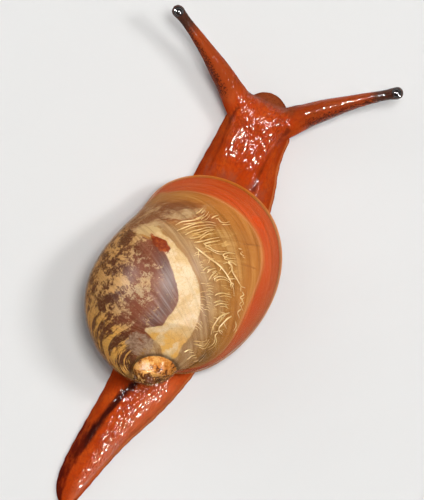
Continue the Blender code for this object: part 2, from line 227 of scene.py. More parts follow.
# The lung's veins, as seen from above
TRUNK_VEINS = (
    ((1.99, 3.50), (1.62, 3.54), (1.44, 3.45), (1.73, 3.32), (1.88, 3.07), (2.41, 2.71), (2.86, 2.43), (3.11, 2.46)),
    ((-0.83, 3.39), (0.16, 3.17), (0.99, 3.02), (1.76, 2.66), (2.44, 2.10), (2.71, 1.68)),
    ((2.90, 0.61), (2.59, 0.31), (2.45, 0.11), (2.39, -0.16), (2.35, -0.68), (2.46, -1.15)),
    ((3.11, 0.47), (2.93, 0.20), (2.77, -0.31), (2.73, -0.58), (2.87, -0.75), (3.08, -0.83)),
)
FINE_VEINS = (
    ((-2.58, 4.10), (-2.29, 4.47), (-1.76, 4.82), (-1.34, 5.17), (-1.12, 5.43), (-1.05, 5.78)),
    ((-2.34, 3.83), (-1.99, 4.21), (-1.64, 4.58), (-1.23, 4.93), (-0.77, 5.20), (-0.36, 5.31)),
    ((-1.75, 3.83), (-1.46, 4.20), (-1.08, 4.51), (-0.76, 4.81), (-0.34, 5.04)),
    ((-1.38, 3.74), (-0.97, 4.03), (-0.73, 4.38), (-0.56, 4.64), (-0.30, 4.84)),
    ((-1.06, 3.62), (-0.66, 3.89), (-0.37, 4.14), (-0.12, 4.35), (0.23, 4.60)),
    ((0.28, 4.37), (-0.16, 4.06), (-0.40, 3.81), (-0.02, 3.79), (0.29, 3.73), (0.67, 3.80), (1.06, 4.02)),
    ((1.58, 4.11), (1.11, 3.94), (0.95, 3.70), (1.21, 3.65), (1.77, 3.85)),
    ((-1.73, 5.30), (-1.57, 5.57), (-1.49, 5.86)),
    ((-1.62, 5.01), (-1.38, 5.24), (-1.23, 5.55)),
    ((-0.73, 5.47), (-0.59, 5.68), (-0.41, 5.86)),
    ((-0.33, 5.63), (-0.09, 5.52), (0.16, 5.59), (0.39, 5.78)),
    ((0.24, 2.27), (0.34, 2.54), (0.53, 2.71)),
    ((0.51, 2.26), (0.66, 2.56), (0.89, 2.76)),
    ((0.83, 1.88), (0.87, 2.25), (1.03, 2.60)),
    ((1.20, 2.00), (1.11, 2.15), (1.31, 2.38), (1.66, 2.49), (2.00, 2.45)),
    ((1.59, 1.18), (1.73, 1.38), (2.00, 1.55), (2.48, 1.65)),
    ((1.72, 0.75), (1.98, 1.00), (2.23, 1.08), (2.52, 1.15)),
    ((1.87, 0.60), (2.08, 0.84), (2.36, 0.94), (2.60, 0.90)),
    ((1.64, 4.53), (1.75, 4.52), (1.86, 4.56)),
    ((1.86, 4.32), (1.98, 4.24), (2.16, 4.25)),
    ((3.06, 2.15), (3.21, 2.01), (3.09, 1.78), (3.33, 1.66), (3.24, 1.39), (3.46, 1.24)),
    ((3.46, 1.14), (3.35, 0.86), (3.50, 0.66)),
    ((2.79, -0.87), (2.71, -1.05), (2.82, -1.33), (2.82, -1.64), (2.61, -2.02)),
    ((1.65, -1.99), (1.87, -1.89), (2.15, -1.81), (2.36, -1.60)),
    ((1.72, -2.15), (1.96, -2.09), (2.34, -2.00), (2.45, -1.74), (2.48, -1.45)),
    ((1.40, -2.90), (1.60, -2.63), (1.85, -2.56)),
    ((1.77, -3.26), (1.96, -2.88), (2.17, -2.73)),
    ((2.21, -3.19), (2.42, -2.95), (2.56, -2.64), (2.60, -2.31)),
    ((3.47, 0.27), (3.64, 0.02), (3.65, -0.31)),
)
RUNG_LINES = (
    ((-0.75, 3.20), (-0.02, 2.62), (0.36, 2.10), (0.64, 1.53), (0.90, 1.02), (1.12, 0.48), (1.24, -0.20)),
    ((0.86, 1.85), (1.20, 1.30), (1.46, 0.64), (1.58, -0.10), (1.55, -0.90), (1.40, -1.60)),
)
RUNG_STEP = 0.17
RUNG_RADIUS = 0.022
TRUNK_RADIUS = 0.065
VEIN_RADIUS = 0.048
BRANCH_RADIUS = 0.034
BRANCH_EVERY = 0.30
PAINTED_VEIN_SHADOW_REACH = 0.13

# Lines on the skin, as seen from above: X, Y and half width
TAIL_STRIPE = (
    (-0.35, -5.40, 0.27),
    (-0.67, -6.50, 0.27),
    (-1.03, -7.52, 0.26),
    (-1.38, -8.83, 0.24),
    (-1.58, -9.90, 0.25),
    (-1.74, -10.98, 0.26),
    (-1.95, -12.11, 0.24),
    (-2.10, -13.40, 0.18),
)
NECK_LINE_LEFT = ((-2.30, 12.60, 0.20), (-2.40, 11.69, 0.17), (-2.30, 10.44, 0.13), (-2.25, 9.30, 0.17),
                  (-2.25, 8.27, 0.20))
NECK_LINE_RIGHT = ((1.25, 12.70, 0.22), (1.05, 12.13, 0.20), (0.88, 11.02, 0.17), (0.80, 9.60, 0.20),
                   (0.85, 8.30, 0.24))

CAMERA_TARGET = (0.18, 3.69, 3.0)
CAMERA_HEIGHT = 600.0
VIEW_TURNED = math.radians(25.9)
VIEW_TALL = 31.85
SENSOR = 36.0


# Meshes and numbers

def ramp(low, high, value):
    share = np.clip((value - low) / (high - low), 0.0, 1.0)
    return share * share * (3 - 2 * share)


def new_object(name, mesh, material):
    mesh.materials.clear()
    mesh.materials.append(material)
    piece = bpy.data.objects.new(name, mesh)
    bpy.context.scene.collection.objects.link(piece)
    return piece


@contextmanager
def editing(mesh):
    """The mesh opened for edits, and written back after them."""
    form = bmesh.new()
    form.from_mesh(mesh)
    yield form
    form.to_mesh(mesh)
    form.free()


def mesh_of(name, points, faces):
    """A mesh from points in millimetres, its faces turned outward."""
    mesh = bpy.data.meshes.new(name)
    mesh.from_pydata([Vector(point) * MM for point in points], [], faces)
    with editing(mesh) as form:
        bmesh.ops.recalc_face_normals(form, faces=form.faces)
    return mesh


def read(items, name, width, kind=float):
    """A value of every item of a mesh, a row for each."""
    values = np.empty(len(items) * width, dtype=kind)
    items.foreach_get(name, values)
    return values.reshape(-1, width)


def get_points(mesh):
    return read(mesh.vertices, "co", 3) / MM


def set_points(mesh, points):
    mesh.vertices.foreach_set("co", (points * MM).ravel())
    mesh.update()


def get_normals(mesh):
    return read(mesh.vertex_normals, "vector", 3)


def write_fields(mesh, fields):
    """Writes a value for every point under each field's name, for a material to read."""
    for name, values in fields.items():
        field = mesh.attributes.new(name, "FLOAT", "POINT")
        field.data.foreach_set("value", np.asarray(values, dtype=np.float32))


def smooth_mesh(mesh, steps, weights):
    """Evens the surface out, as far as each point's weight allows."""
    points = get_points(mesh)
    count = len(points)
    one, two = read(mesh.edges, "vertices", 2, np.int32).T
    degree = np.maximum(np.bincount(one, minlength=count) + np.bincount(two, minlength=count), 1)[:, None]
    share = 0.5 * np.asarray(weights)[:, None]
    total = np.empty_like(points)
    for _ in range(steps):
        for axis in range(3):
            total[:, axis] = np.bincount(one, points[two, axis], count) + np.bincount(two, points[one, axis], count)
        points += share * (total / degree - points)
    set_points(mesh, points)


def joined(name, meshes):
    whole = bpy.data.meshes.new(name)
    with editing(whole) as form:
        for mesh in meshes:
            form.from_mesh(mesh)
            bpy.data.meshes.remove(mesh)
    return whole


def modified(mesh, kind, **settings):
    """The mesh after one modifier of that kind."""
    carrier = bpy.data.objects.new("carrier", mesh)
    bpy.context.scene.collection.objects.link(carrier)
    modifier = carrier.modifiers.new("step", kind)
    for name, value in settings.items():
        setattr(modifier, name, value)
    bpy.context.view_layer.update()
    graph = bpy.context.evaluated_depsgraph_get()
    result = bpy.data.meshes.new_from_object(carrier.evaluated_get(graph))
    bpy.data.objects.remove(carrier, do_unlink=True)
    bpy.data.meshes.remove(mesh)
    return result


def fused(mesh, voxel):
    """One skin round overlapping surfaces, without what lies sealed inside or loose."""
    mesh = modified(mesh, "REMESH", mode="VOXEL", voxel_size=voxel * MM)
    with editing(mesh) as form:
        unseen = set(form.verts)
        surfaces = []
        while unseen:
            surface = [unseen.pop()]
            for point in surface:
                beside = {edge.other_vert(point) for edge in point.link_edges} & unseen
                unseen -= beside
                surface.extend(beside)
            surfaces.append(surface)
        surfaces.sort(key=len, reverse=True)
        for surface in surfaces[1:]:
            bmesh.ops.delete(form, geom=surface, context="VERTS")
    return mesh


def loft(name, rings):
    """A closed form through rings of points, with a flat cap on each end ring."""
    count = len(rings[0])
    points = [point for ring in rings for point in ring]
    faces = [tuple(range(count)), tuple(range(len(points) - count, len(points)))]
    for row in range(len(rings) - 1):
        for side in range(count):
            here = row * count + side
            following = row * count + (side + 1) % count
            faces.append((here, following, following + count, here + count))
    return mesh_of(name, points, faces)


def ellipsoid(middle, half_sizes):
    mesh = bpy.data.meshes.new("mass")
    with editing(mesh) as form:
        bmesh.ops.create_uvsphere(form, u_segments=64, v_segments=40, radius=MM)
        bmesh.ops.scale(form, vec=Vector(half_sizes), verts=form.verts)
        bmesh.ops.translate(form, vec=Vector(middle) * MM, verts=form.verts)
    return mesh


def smooth_between(stations, place):
    """The values at a place along stations, on a curve that runs smoothly through them."""
    place = min(max(place, stations[0][0]), stations[-1][0])
    row = 0
    while place > stations[row + 1][0]:
        row += 1
    start, end = stations[row], stations[row + 1]
    before = stations[max(row - 1, 0)]
    after = stations[min(row + 2, len(stations) - 1)]
    span = end[0] - start[0]
    share = (place - start[0]) / span
    values = []
    for column in range(1, len(start)):
        slope_in = (end[column] - before[column]) / (end[0] - before[0]) * span
        slope_out = (after[column] - start[column]) / (after[0] - start[0]) * span
        values.append(
            start[column] * (2 * share**3 - 3 * share**2 + 1)
            + slope_in * (share**3 - 2 * share**2 + share)
            + end[column] * (3 * share**2 - 2 * share**3)
            + slope_out * (share**3 - share**2)
        )
    return values


def curve_through(points, step):
    """Points about a step apart on a smooth curve through the given ones, with any further values carried along."""
    stations = [(0.0, *points[0])]
    for before, point in zip(points, points[1:]):
        stations.append((stations[-1][0] + math.dist(before[:2], point[:2]), *point))
    count = max(2, round(stations[-1][0] / step))
    return [smooth_between(stations, stations[-1][0] * row / count) for row in range(count + 1)]


def near_line(points, line):
    """For each point seen from above: distance to a line, share along it and the line's half width there."""
    fine = np.array(curve_through(line, 0.15))
    best = np.full(len(points), 1e9)
    share = np.zeros(len(points))
    width = np.zeros(len(points))
    for row in range(len(fine) - 1):
        start, run = fine[row, :2], fine[row + 1, :2] - fine[row, :2]
        place = np.clip(((points[:, :2] - start) @ run) / (run @ run), 0, 1)
        distance = np.linalg.norm(points[:, :2] - start - place[:, None] * run, axis=1)
        closer = distance < best
        best[closer] = distance[closer]
        share[closer] = (row + place[closer]) / (len(fine) - 1)
        width[closer] = (fine[row, 2] + place * (fine[row + 1, 2] - fine[row, 2]))[closer]
    return best, share, width


def line_mark(points, line, softness=0.12):
    """1 on the line, falling to 0 past its half width; in between a noise can tear its edge."""
    distance, _, width = near_line(points, line)
    return ramp(softness, -softness, distance - width)


def circle(count):
    return [2 * math.pi * side / count for side in range(count)]


# The skin

def body_ring(y):
    """The body's outline across: flat sole, fringe, groove over it, and the rounded back."""
    middle, half_width, height = smooth_between(BODY, y)
    size = min(1.0, height / FULL_FRINGE_BODY)
    fringe = FRINGE_HEIGHT * size
    base = fringe * BACK_STARTS
    left, right = (
        min(step * size, half_width * FRINGE_STEP_LIMIT) for step in (FRINGE_STEP_LEFT, FRINGE_STEP_RIGHT)
    )
    outline = [(half_width - right * inset, fringe * share) for inset, share in FRINGE_SIDE]
    for row in range(BACK_POINTS):
        angle = math.pi * row / (BACK_POINTS - 1)
        step = right + (left - right) * row / (BACK_POINTS - 1)
        outline.append(((half_width - step) * math.cos(angle), base + (height - base) * math.sin(angle) ** CREST))
    outline += [(left * inset - half_width, fringe * share) for inset, share in reversed(FRINGE_SIDE)]
    return [Vector((middle + x, y, z)) for x, z in outline]


def body_rings():
    start, end = BODY[0][0], BODY[-1][0]
    rows = round((end - start) / RING_STEP)
    return [body_ring(start + (end - start) * (row / rows) ** TIP_CROWDING) for row in range(rows + 1)]


def tube_ring(middle, direction, radius, count):
    across = direction.cross(Vector((0, 0, 1))).normalized()
    upward = across.cross(direction)
    return [middle + radius * (math.cos(a) * across + math.sin(a) * upward) for a in circle(count)]


def round_end(middle, direction, radius, count):
    angles = [math.radians(degrees) for degrees in ROUND_END_DEGREES]
    return [
        tube_ring(middle + direction * radius * math.sin(a), direction, radius * math.cos(a), count)
        for a in angles
    ]


def route_point(route, share):
    root, guide, tip = (Vector(point) for point in route)
    return root * (1 - share) ** 2 + guide * 2 * share * (1 - share) + tip * share**2


def route_direction(route, share):
    root, guide, tip = (Vector(point) for point in route)
    return ((guide - root) * (1 - share) + (tip - guide) * share).normalized()


def tentacle(route):
    rings = []
    for row in range(TENTACLE_ROWS + 1):
        share = TENTACLE_BULB_STARTS * row / TENTACLE_ROWS
        radius = smooth_between(TENTACLE_RADII, share)[0]
        rings.append(tube_ring(route_point(route, share), route_direction(route, share), radius, TENTACLE_SIDES))
    bulb = route_point(route, TENTACLE_BULB_STARTS)
    direction = route_direction(route, TENTACLE_BULB_STARTS)
    return loft("mass", rings + round_end(bulb, direction, TENTACLE_RADII[-1][1], TENTACLE_SIDES))


def feeler(side):
    root = Vector((SNOUT_MIDDLE + side * FEELER_ROOT[0], FEELER_ROOT[1], FEELER_ROOT[2]))
    direction = Vector((side * FEELER_DIRECTION[0], FEELER_DIRECTION[1], FEELER_DIRECTION[2])).normalized()
    end = root + direction * (FEELER_LENGTH - FEELER_TIP_RADIUS)
    rings = [tube_ring(root, direction, FEELER_ROOT_RADIUS, FEELER_SIDES)]
    return loft("mass", rings + round_end(end, direction, FEELER_TIP_RADIUS, FEELER_SIDES))


def lips():
    masses = [ellipsoid(*UPPER_LIP)]
    for side in (-1, 1):
        offset, half_sizes = LOWER_LIP
        masses.append(ellipsoid((SNOUT_MIDDLE + side * offset[0], offset[1], offset[2]), half_sizes))
        masses.append(feeler(side))
    return masses


def mantle_edge():
    rings = [lip_points(np.array(circle(160)), scale, drop) for drop, scale in MANTLE_STEPS]
    return loft("mass", rings)


def tentacle_places(points):
    """For each point: share along the nearer tentacle, distance from its middle line, how far it faces backward."""
    place = np.zeros(len(points))
    best = np.full(len(points), 1e9)
    backward = np.zeros(len(points))
    for route in (TENTACLE_LEFT, TENTACLE_RIGHT):
        for row in range(101):
            middle = route_point(route, row / 100)
            along = route_direction(route, row / 100)
            across = Vector((along.y, -along.x, 0)).normalized()
            if across.y > 0:
                across.negate()
            offset = points - np.array(middle)
            distance = np.linalg.norm(offset, axis=1)
            closer = distance < best
            best[closer] = distance[closer]
            place[closer] = row / 100
            backward[closer] = (offset[closer] @ np.array(across)) / np.maximum(distance[closer], 1e-6)
    return place, best, backward


def near_mouth(points):
    """1 on the line of the mouth and on the slit below it, falling to 0 beside them."""
    x, y, z = points.T
    across = np.clip(x - SNOUT_MIDDLE, -MOUTH_HALF_WIDTH, MOUTH_HALF_WIDTH)
    line_height = MOUTH_HEIGHT - MOUTH_SAG * (across / MOUTH_HALF_WIDTH) ** 2
    to_line = np.hypot(x - SNOUT_MIDDLE - across, z - line_height)
    to_slit = np.hypot(x - SNOUT_MIDDLE, z - np.clip(z, MOUTH_SLIT_END, MOUTH_HEIGHT))
    return np.exp(-((np.minimum(to_line, to_slit) / MOUTH_LINE_WIDTH) ** 2)) * ramp(-0.3, 0.0, y - MOUTH_BEGINS)


def press_mouth(mesh):
    """Presses the mouth into the front of the face."""
    points, normals = get_points(mesh), get_normals(mesh)
    front = (points[:, 1] > MOUTH_BEGINS) & (normals[:, 1] > 0)
    points[:, 1] -= np.where(front, MOUTH_DEPTH * near_mouth(points), 0)
    set_points(mesh, points)


def cell_noise(points, size):
    """Rounded cells with grooves between them, from about -1 in a groove to 1 on top of a cell."""
    values = np.empty(len(points))
    for row, point in enumerate(points / np.array(size)):
        values[row] = 1 - 4.5 * noise.voronoi(Vector(point))[0][0] ** 2
    return np.maximum(values, -1)


def soft_noise(points, size):
    """Slow smooth noise of about that size, in millimetres, from about -0.5 to 0.5."""
    return np.array([noise.noise(Vector(point)) for point in points / np.array(size)])


def wetness(points, middle, half_width):
    """Where the skin is coarsely wrinkled and wet: along the neck's top to the head, and most of the tail's top."""
    x, y, z = points.T
    reach = 0.75 + 0.25 * (y - 9.0)
    head = ramp(8.8, 9.8, y) * ramp(14.3, 13.2, y) * ramp(reach + 0.5, reach - 0.2, np.abs(x + 0.6))
    head *= ramp(1.6, 2.3, z)
    shift = 0.35 * ramp(-8.0, -13.0, y)
    across = (x - middle) / half_width - shift
    tail = ramp(-4.5, -6.0, y) * ramp(-0.34, -0.14, across) * ramp(0.78, 0.50, across)
    tail = np.maximum(tail, 0.6 * line_mark(points, TAIL_STRIPE, 0.1) * ramp(-7.8, -7.2, y))
    return np.maximum(head, tail * ramp(0.35, 0.8, z))


def body_sizes(points):
    """The foot's middle, half width and height at each point's place along it."""
    return np.array([smooth_between(BODY, y) for y in points[:, 1]]).T


def wrinkle(mesh):
    """Gives the skin its tubercles and grooves, in the surface itself."""
    points, normals = get_points(mesh), get_normals(mesh)
    x, y, z = points.T
    share, distance, _ = tentacle_places(points)
    on_tentacle = ramp(0.16, 0.30, share) * ramp(1.2, 0.9, distance)
    above_sole = ramp(0.05, 0.35, z)
    middle, half_width, _ = body_sizes(points)
    coarse = wetness(points, middle, half_width) * (1 - on_tentacle)
    face = ramp(12.3, 13.2, y) * (1 - on_tentacle)
    depth = above_sole * (0.003 + 0.009 * coarse + 0.004 * face * (1 - coarse) - 0.001 * on_tentacle)
    bend = np.stack([soft_noise(points, 1.3), soft_noise(points + 9, 1.5), np.zeros(len(points))], axis=1)
    relief = cell_noise(points + 0.35 * bend, (0.42, 0.62, 0.5)) + 0.7 * soft_noise(points, (0.9, 1.8, 1.2))
    neck = np.maximum(line_mark(points, NECK_LINE_LEFT, 0.18), line_mark(points, NECK_LINE_RIGHT, 0.18))
    grooves = 0.04 * neck * ramp(1.2, 1.8, z) * ramp(12.6, 11.8, y)
    scallop = 0.02 * np.sin(y * 7.0 + 2.0 * soft_noise(points, 2.0)) * ramp(0.5, 0.2, z) * above_sole
    set_points(mesh, points + normals * (depth * relief - grooves + scallop)[:, None])


def mark_skin(mesh):
    """Writes where the skin's colours and gloss change."""
    points = get_points(mesh)
    x, y, z = points.T
    share, distance, backward = tentacle_places(points)
    middle, half_width, height = body_sizes(points)
    across = (x - middle) / half_width
    on_tentacle = ramp(0.10, 0.26, share) * ramp(1.25, 0.95, distance)
    neck = np.maximum(line_mark(points, NECK_LINE_LEFT, 0.22), line_mark(points, NECK_LINE_RIGHT, 0.25))
    stripe = line_mark(points, TAIL_STRIPE, 0.30) * ramp(0.35, 0.7, z)
    up_fringe = z / (FRINGE_HEIGHT * np.minimum(1, height / FULL_FRINGE_BODY))
    over_sole = ramp(12.6, 12.0, y)
    over_mouth = z - LIP_HEIGHT - LIP_PITCH * y - LIP_ROLL * x
    write_fields(mesh, {
        "neck_lines": neck * ramp(0.9, 1.5, z) * ramp(7.0, 8.0, y),
        "stripe": ramp(-0.35, 0.70, backward) * on_tentacle,
        "tentacle": on_tentacle,
        "tentacle_gloss": on_tentacle * np.where(x < SNOUT_MIDDLE, 0.35, 0.95),
        "neck_end": ramp(10.2, 8.4, y) * ramp(6.0, 7.5, y) * ramp(0.8, 1.6, z),
        "tail_stripe": stripe * (0.50 + 0.50 * ramp(-12.2, -10.2, y)),
        "tip": ramp(0.60, 0.94, share) * ramp(1.0, 0.8, distance),
        # The fringe by the sole darker: partly its own darker side, partly painted shade low by the floor.
        "fringe": ramp(1.05, 0.85, up_fringe) * over_sole,
        "pale_line": np.exp(-(((up_fringe - 1.08) / 0.16) ** 2)) * over_sole * ramp(-0.5, 0.5, x),
        "snout": ramp(13.3, 13.9, y) * ramp(1.9, 1.5, np.abs(x - SNOUT_MIDDLE)),
        # Painted shade: dark in the pressed-in line and slit of the mouth.
        "mouth": near_mouth(points),
        "mantle": ramp(-1.15, -0.85, over_mouth) * ramp(2.3, 2.9, np.abs(x + 0.1)),
        # Painted light: the tail's right side made lighter, on the side the lights come from.
        "painted_light_flank": ramp(-4.0, -6.0, y) * ramp(0.0, 0.7, across) * ramp(0.2, 0.6, z),
        "wet": wetness(points, middle, half_width) * (1 - on_tentacle),
        # Darker left rear of the tail: partly its own dark red, partly painted shade on the side away from the
        # lights.
        "tail_left_tone_and_painted_shade": ramp(-7.4, -11.2, y) * ramp(0.00, -0.55, across),
    })


def make_skin(material):
    """The whole animal outside its shell as one surface."""
    masses = [loft("mass", body_rings()), ellipsoid(*PEDICEL), mantle_edge()]
    masses += [ellipsoid(*mass) for mass in (SOLE_FRONT, HEAD_DOME, BROW_LEFT, BROW_RIGHT, SNOUT)]
    masses += [tentacle(TENTACLE_LEFT), tentacle(TENTACLE_RIGHT)]
    mesh = fused(joined("skin", masses), SKIN_VOXEL)
    points = get_points(mesh)
    share, distance, _ = tentacle_places(points)
    off_tentacle = 1 - ramp(0.18, 0.34, share) * ramp(1.4, 1.1, distance)
    head = ramp(10.2, 11.4, points[:, 1]) * off_tentacle * ramp(0.1, 0.5, points[:, 2])
    root = ramp(9.0, 7.5, points[:, 1]) * ramp(-3.4, -2.0, points[:, 1]) * ramp(0.9, 1.3, points[:, 2])
    smooth_mesh(mesh, HEAD_SMOOTHING, np.maximum(head, root))
    mesh = fused(joined("skin", [mesh] + lips()), SKIN_VOXEL)
    points = get_points(mesh)
    smooth_mesh(mesh, SKIN_SMOOTHING, 0.35 + 0.65 * ramp(0.3, 0.7, points[:, 2]))
    press_mouth(mesh)
    wrinkle(mesh)
    flatten_sole(mesh)
    mesh = modified(mesh, "DECIMATE", ratio=min(1.0, SKIN_TRIANGLES / (2 * len(mesh.polygons))))
    mark_skin(mesh)
    mesh.shade_smooth()
    return new_object("skin", mesh, material)


def flatten_sole(mesh):
    points = get_points(mesh)
    points[:, 2] = np.where(points[:, 2] < 0.06, 0.0, points[:, 2])
    set_points(mesh, points)


# The shell and the body in it

def lip_points(angle, scale=1.0, drop=0.0):
    """Points of the lip, by their angle from its front end over its right side; it tucks in behind on the left."""
    along = scale * LIP_HALF_LENGTH * np.cos(angle)
    across = scale * LIP_HALF_WIDTH * np.sin(angle) * (1 + LIP_EGG * np.cos(angle))
    across = across * (1 - LIP_TUCK * np.maximum(0.0, -np.sin(angle)) * (1 - np.cos(angle)) / 2)
    x = LIP_MIDDLE[0] + across * math.cos(LIP_TURNED) + along * math.sin(LIP_TURNED)
    y = LIP_MIDDLE[1] - across * math.sin(LIP_TURNED) + along * math.cos(LIP_TURNED)
    return np.stack([x, y, LIP_HEIGHT + LIP_PITCH * y + LIP_ROLL * x - drop], axis=1)


def coil_axis():
    level = math.cos(COIL_RAISED)
    return np.array((level * math.sin(COIL_TURNED), -level * math.cos(COIL_TURNED), math.sin(COIL_RAISED)))


def whorl_points(turn, angle):
    """Points of the shell's tube, a number of turns from the lip (negative is older shell)."""
    arm = lip_points(angle) - COIL_POLE
    axis = coil_axis()
    turned = -2 * math.pi * turn[:, None]
    spun = arm * np.cos(turned) + np.cross(axis, arm) * np.sin(turned)
    spun += axis * (arm @ axis)[:, None] * (1 - np.cos(turned))
    return COIL_POLE + GROWTH_PER_TURN ** turn[:, None] * spun


def spiral_grid(first, last, rows):
    """Turn, angle and place of a grid of points over the shell's tube."""
    turns = np.repeat(np.linspace(first, last, rows), SHELL_SIDES)
    angles = np.tile(np.array(circle(SHELL_SIDES)), rows)
    return turns, angles, whorl_points(turns, angles)


def nearest_of(samples, points):
    """For each point, the number of the nearest sample and how far away it is."""
    tree = KDTree(len(samples))
    for row, sample in enumerate(samples):
        tree.insert(sample, row)
    tree.balance()
    found = [tree.find(point)[1:] for point in points]
    return np.array([row for row, _ in found]), np.array([distance for _, distance in found])


def spiral_places(points):
    """For each point of the shell: turn and angle on the tube, and the tube's own point there."""
    turns, angles, samples = spiral_grid(-SHELL_TURNS, SHELL_PAST_LIP, SHELL_ROWS)
    nearest, _ = nearest_of(samples, points)
    turn, angle = turns[nearest], angles[nearest]
    nudge = 1e-4
    for _ in range(4):
        here = whorl_points(turn, angle)
        along = (whorl_points(turn + nudge, angle) - here) / nudge
        around = (whorl_points(turn, angle + nudge) - here) / nudge
        offset = points - here
        aa, bb, ab = (along**2).sum(1), (around**2).sum(1), (along * around).sum(1)
        pa, pb = (along * offset).sum(1), (around * offset).sum(1)
        scale = np.maximum(aa * bb - ab**2, 1e-9)
        turn = turn + np.clip((pa * bb - pb * ab) / scale, -0.02, 0.02)
        angle = angle + np.clip((pb * aa - pa * ab) / scale, -0.1, 0.1)
    return turn, angle, whorl_points(turn, angle)


def cut_mouth(mesh):
    """Opens the shell at the plane of its lip."""
    with editing(mesh) as form:
        everything = form.verts[:] + form.edges[:] + form.faces[:]
        middle = Vector((0, 0, LIP_HEIGHT)) * MM
        across = Vector((LIP_ROLL, LIP_PITCH, -1))
        bmesh.ops.bisect_plane(form, geom=everything, plane_co=middle, plane_no=across, clear_outer=True)


def shell_surface():
    """The shell's outer surface, open at the mouth, with its turn and angle at each point."""
    rings = spiral_grid(-SHELL_TURNS, SHELL_PAST_LIP, SHELL_ROWS)[2].reshape(SHELL_ROWS, SHELL_SIDES, 3)
    mesh = fused(joined("shell_surface", [loft("mass", rings), ellipsoid(*SHOULDER)]), SHELL_VOXEL)
    smooth_mesh(mesh, 3, np.ones(len(mesh.vertices)))
    cut_mouth(mesh)
    points = get_points(mesh)
    turn, angle, exact = spiral_places(points)
    away = np.linalg.norm(points - exact, axis=1)
    share = ramp(0.20, 0.07, away)[:, None]
    set_points(mesh, points + share * (exact - points))
    smooth_mesh(mesh, 4, ramp(-0.45, -0.75, turn))
    smooth_mesh(mesh, FILL_SMOOTHING, suture_fill(get_points(mesh)))
    return mesh, turn, angle


def picture_places(points):
    """Each point from the middle of the bright apex, along the picture's right and top."""
    right, top = (np.array(direction)[:2] for direction in view_directions())
    offset = points[:, :2] - APEX_MIDDLE
    return offset @ right, offset @ top


def suture_fill(points):
    """Where the last whorl runs smoothly down over the older ones, which leaves only the apex free."""
    across, up = picture_places(points)
    away = np.hypot((across - FILL_BESIDE_APEX) / FILL_HALF_SIZES[0], (up - FILL_OVER_APEX) / FILL_HALF_SIZES[1])
    return ramp(1.1, 0.75, away) * (points[:, 2] > FILL_ABOVE)


def write_spiral(mesh, turn, angle):
    write_fields(mesh, {"turn": turn, "round_one": np.cos(angle), "round_two": np.sin(angle)})


def make_wall(surface, turn, angle, material):
    """The thin clear shell itself: growth lines outside, smooth inside."""
    mesh = surface.copy()
    points, normals = get_points(mesh), get_normals(mesh)
    places = np.stack([turn * 55, np.cos(angle) * 1.2, np.sin(angle) * 1.2], axis=1)
    relief = soft_noise(places, 1.0) + 0.8 * soft_noise(places, (0.35, 1, 1))
    fade = ramp(-1.6, -0.9, turn)
    set_points(mesh, points + normals * (GROWTH_RELIEF * relief * fade)[:, None])
    write_spiral(mesh, turn, angle)
    mesh = modified(mesh, "SOLIDIFY", thickness=WALL_THICKNESS * MM, offset=-1.0, use_even_offset=False)
    mesh.shade_smooth()
    return new_object("shell_wall", mesh, material)


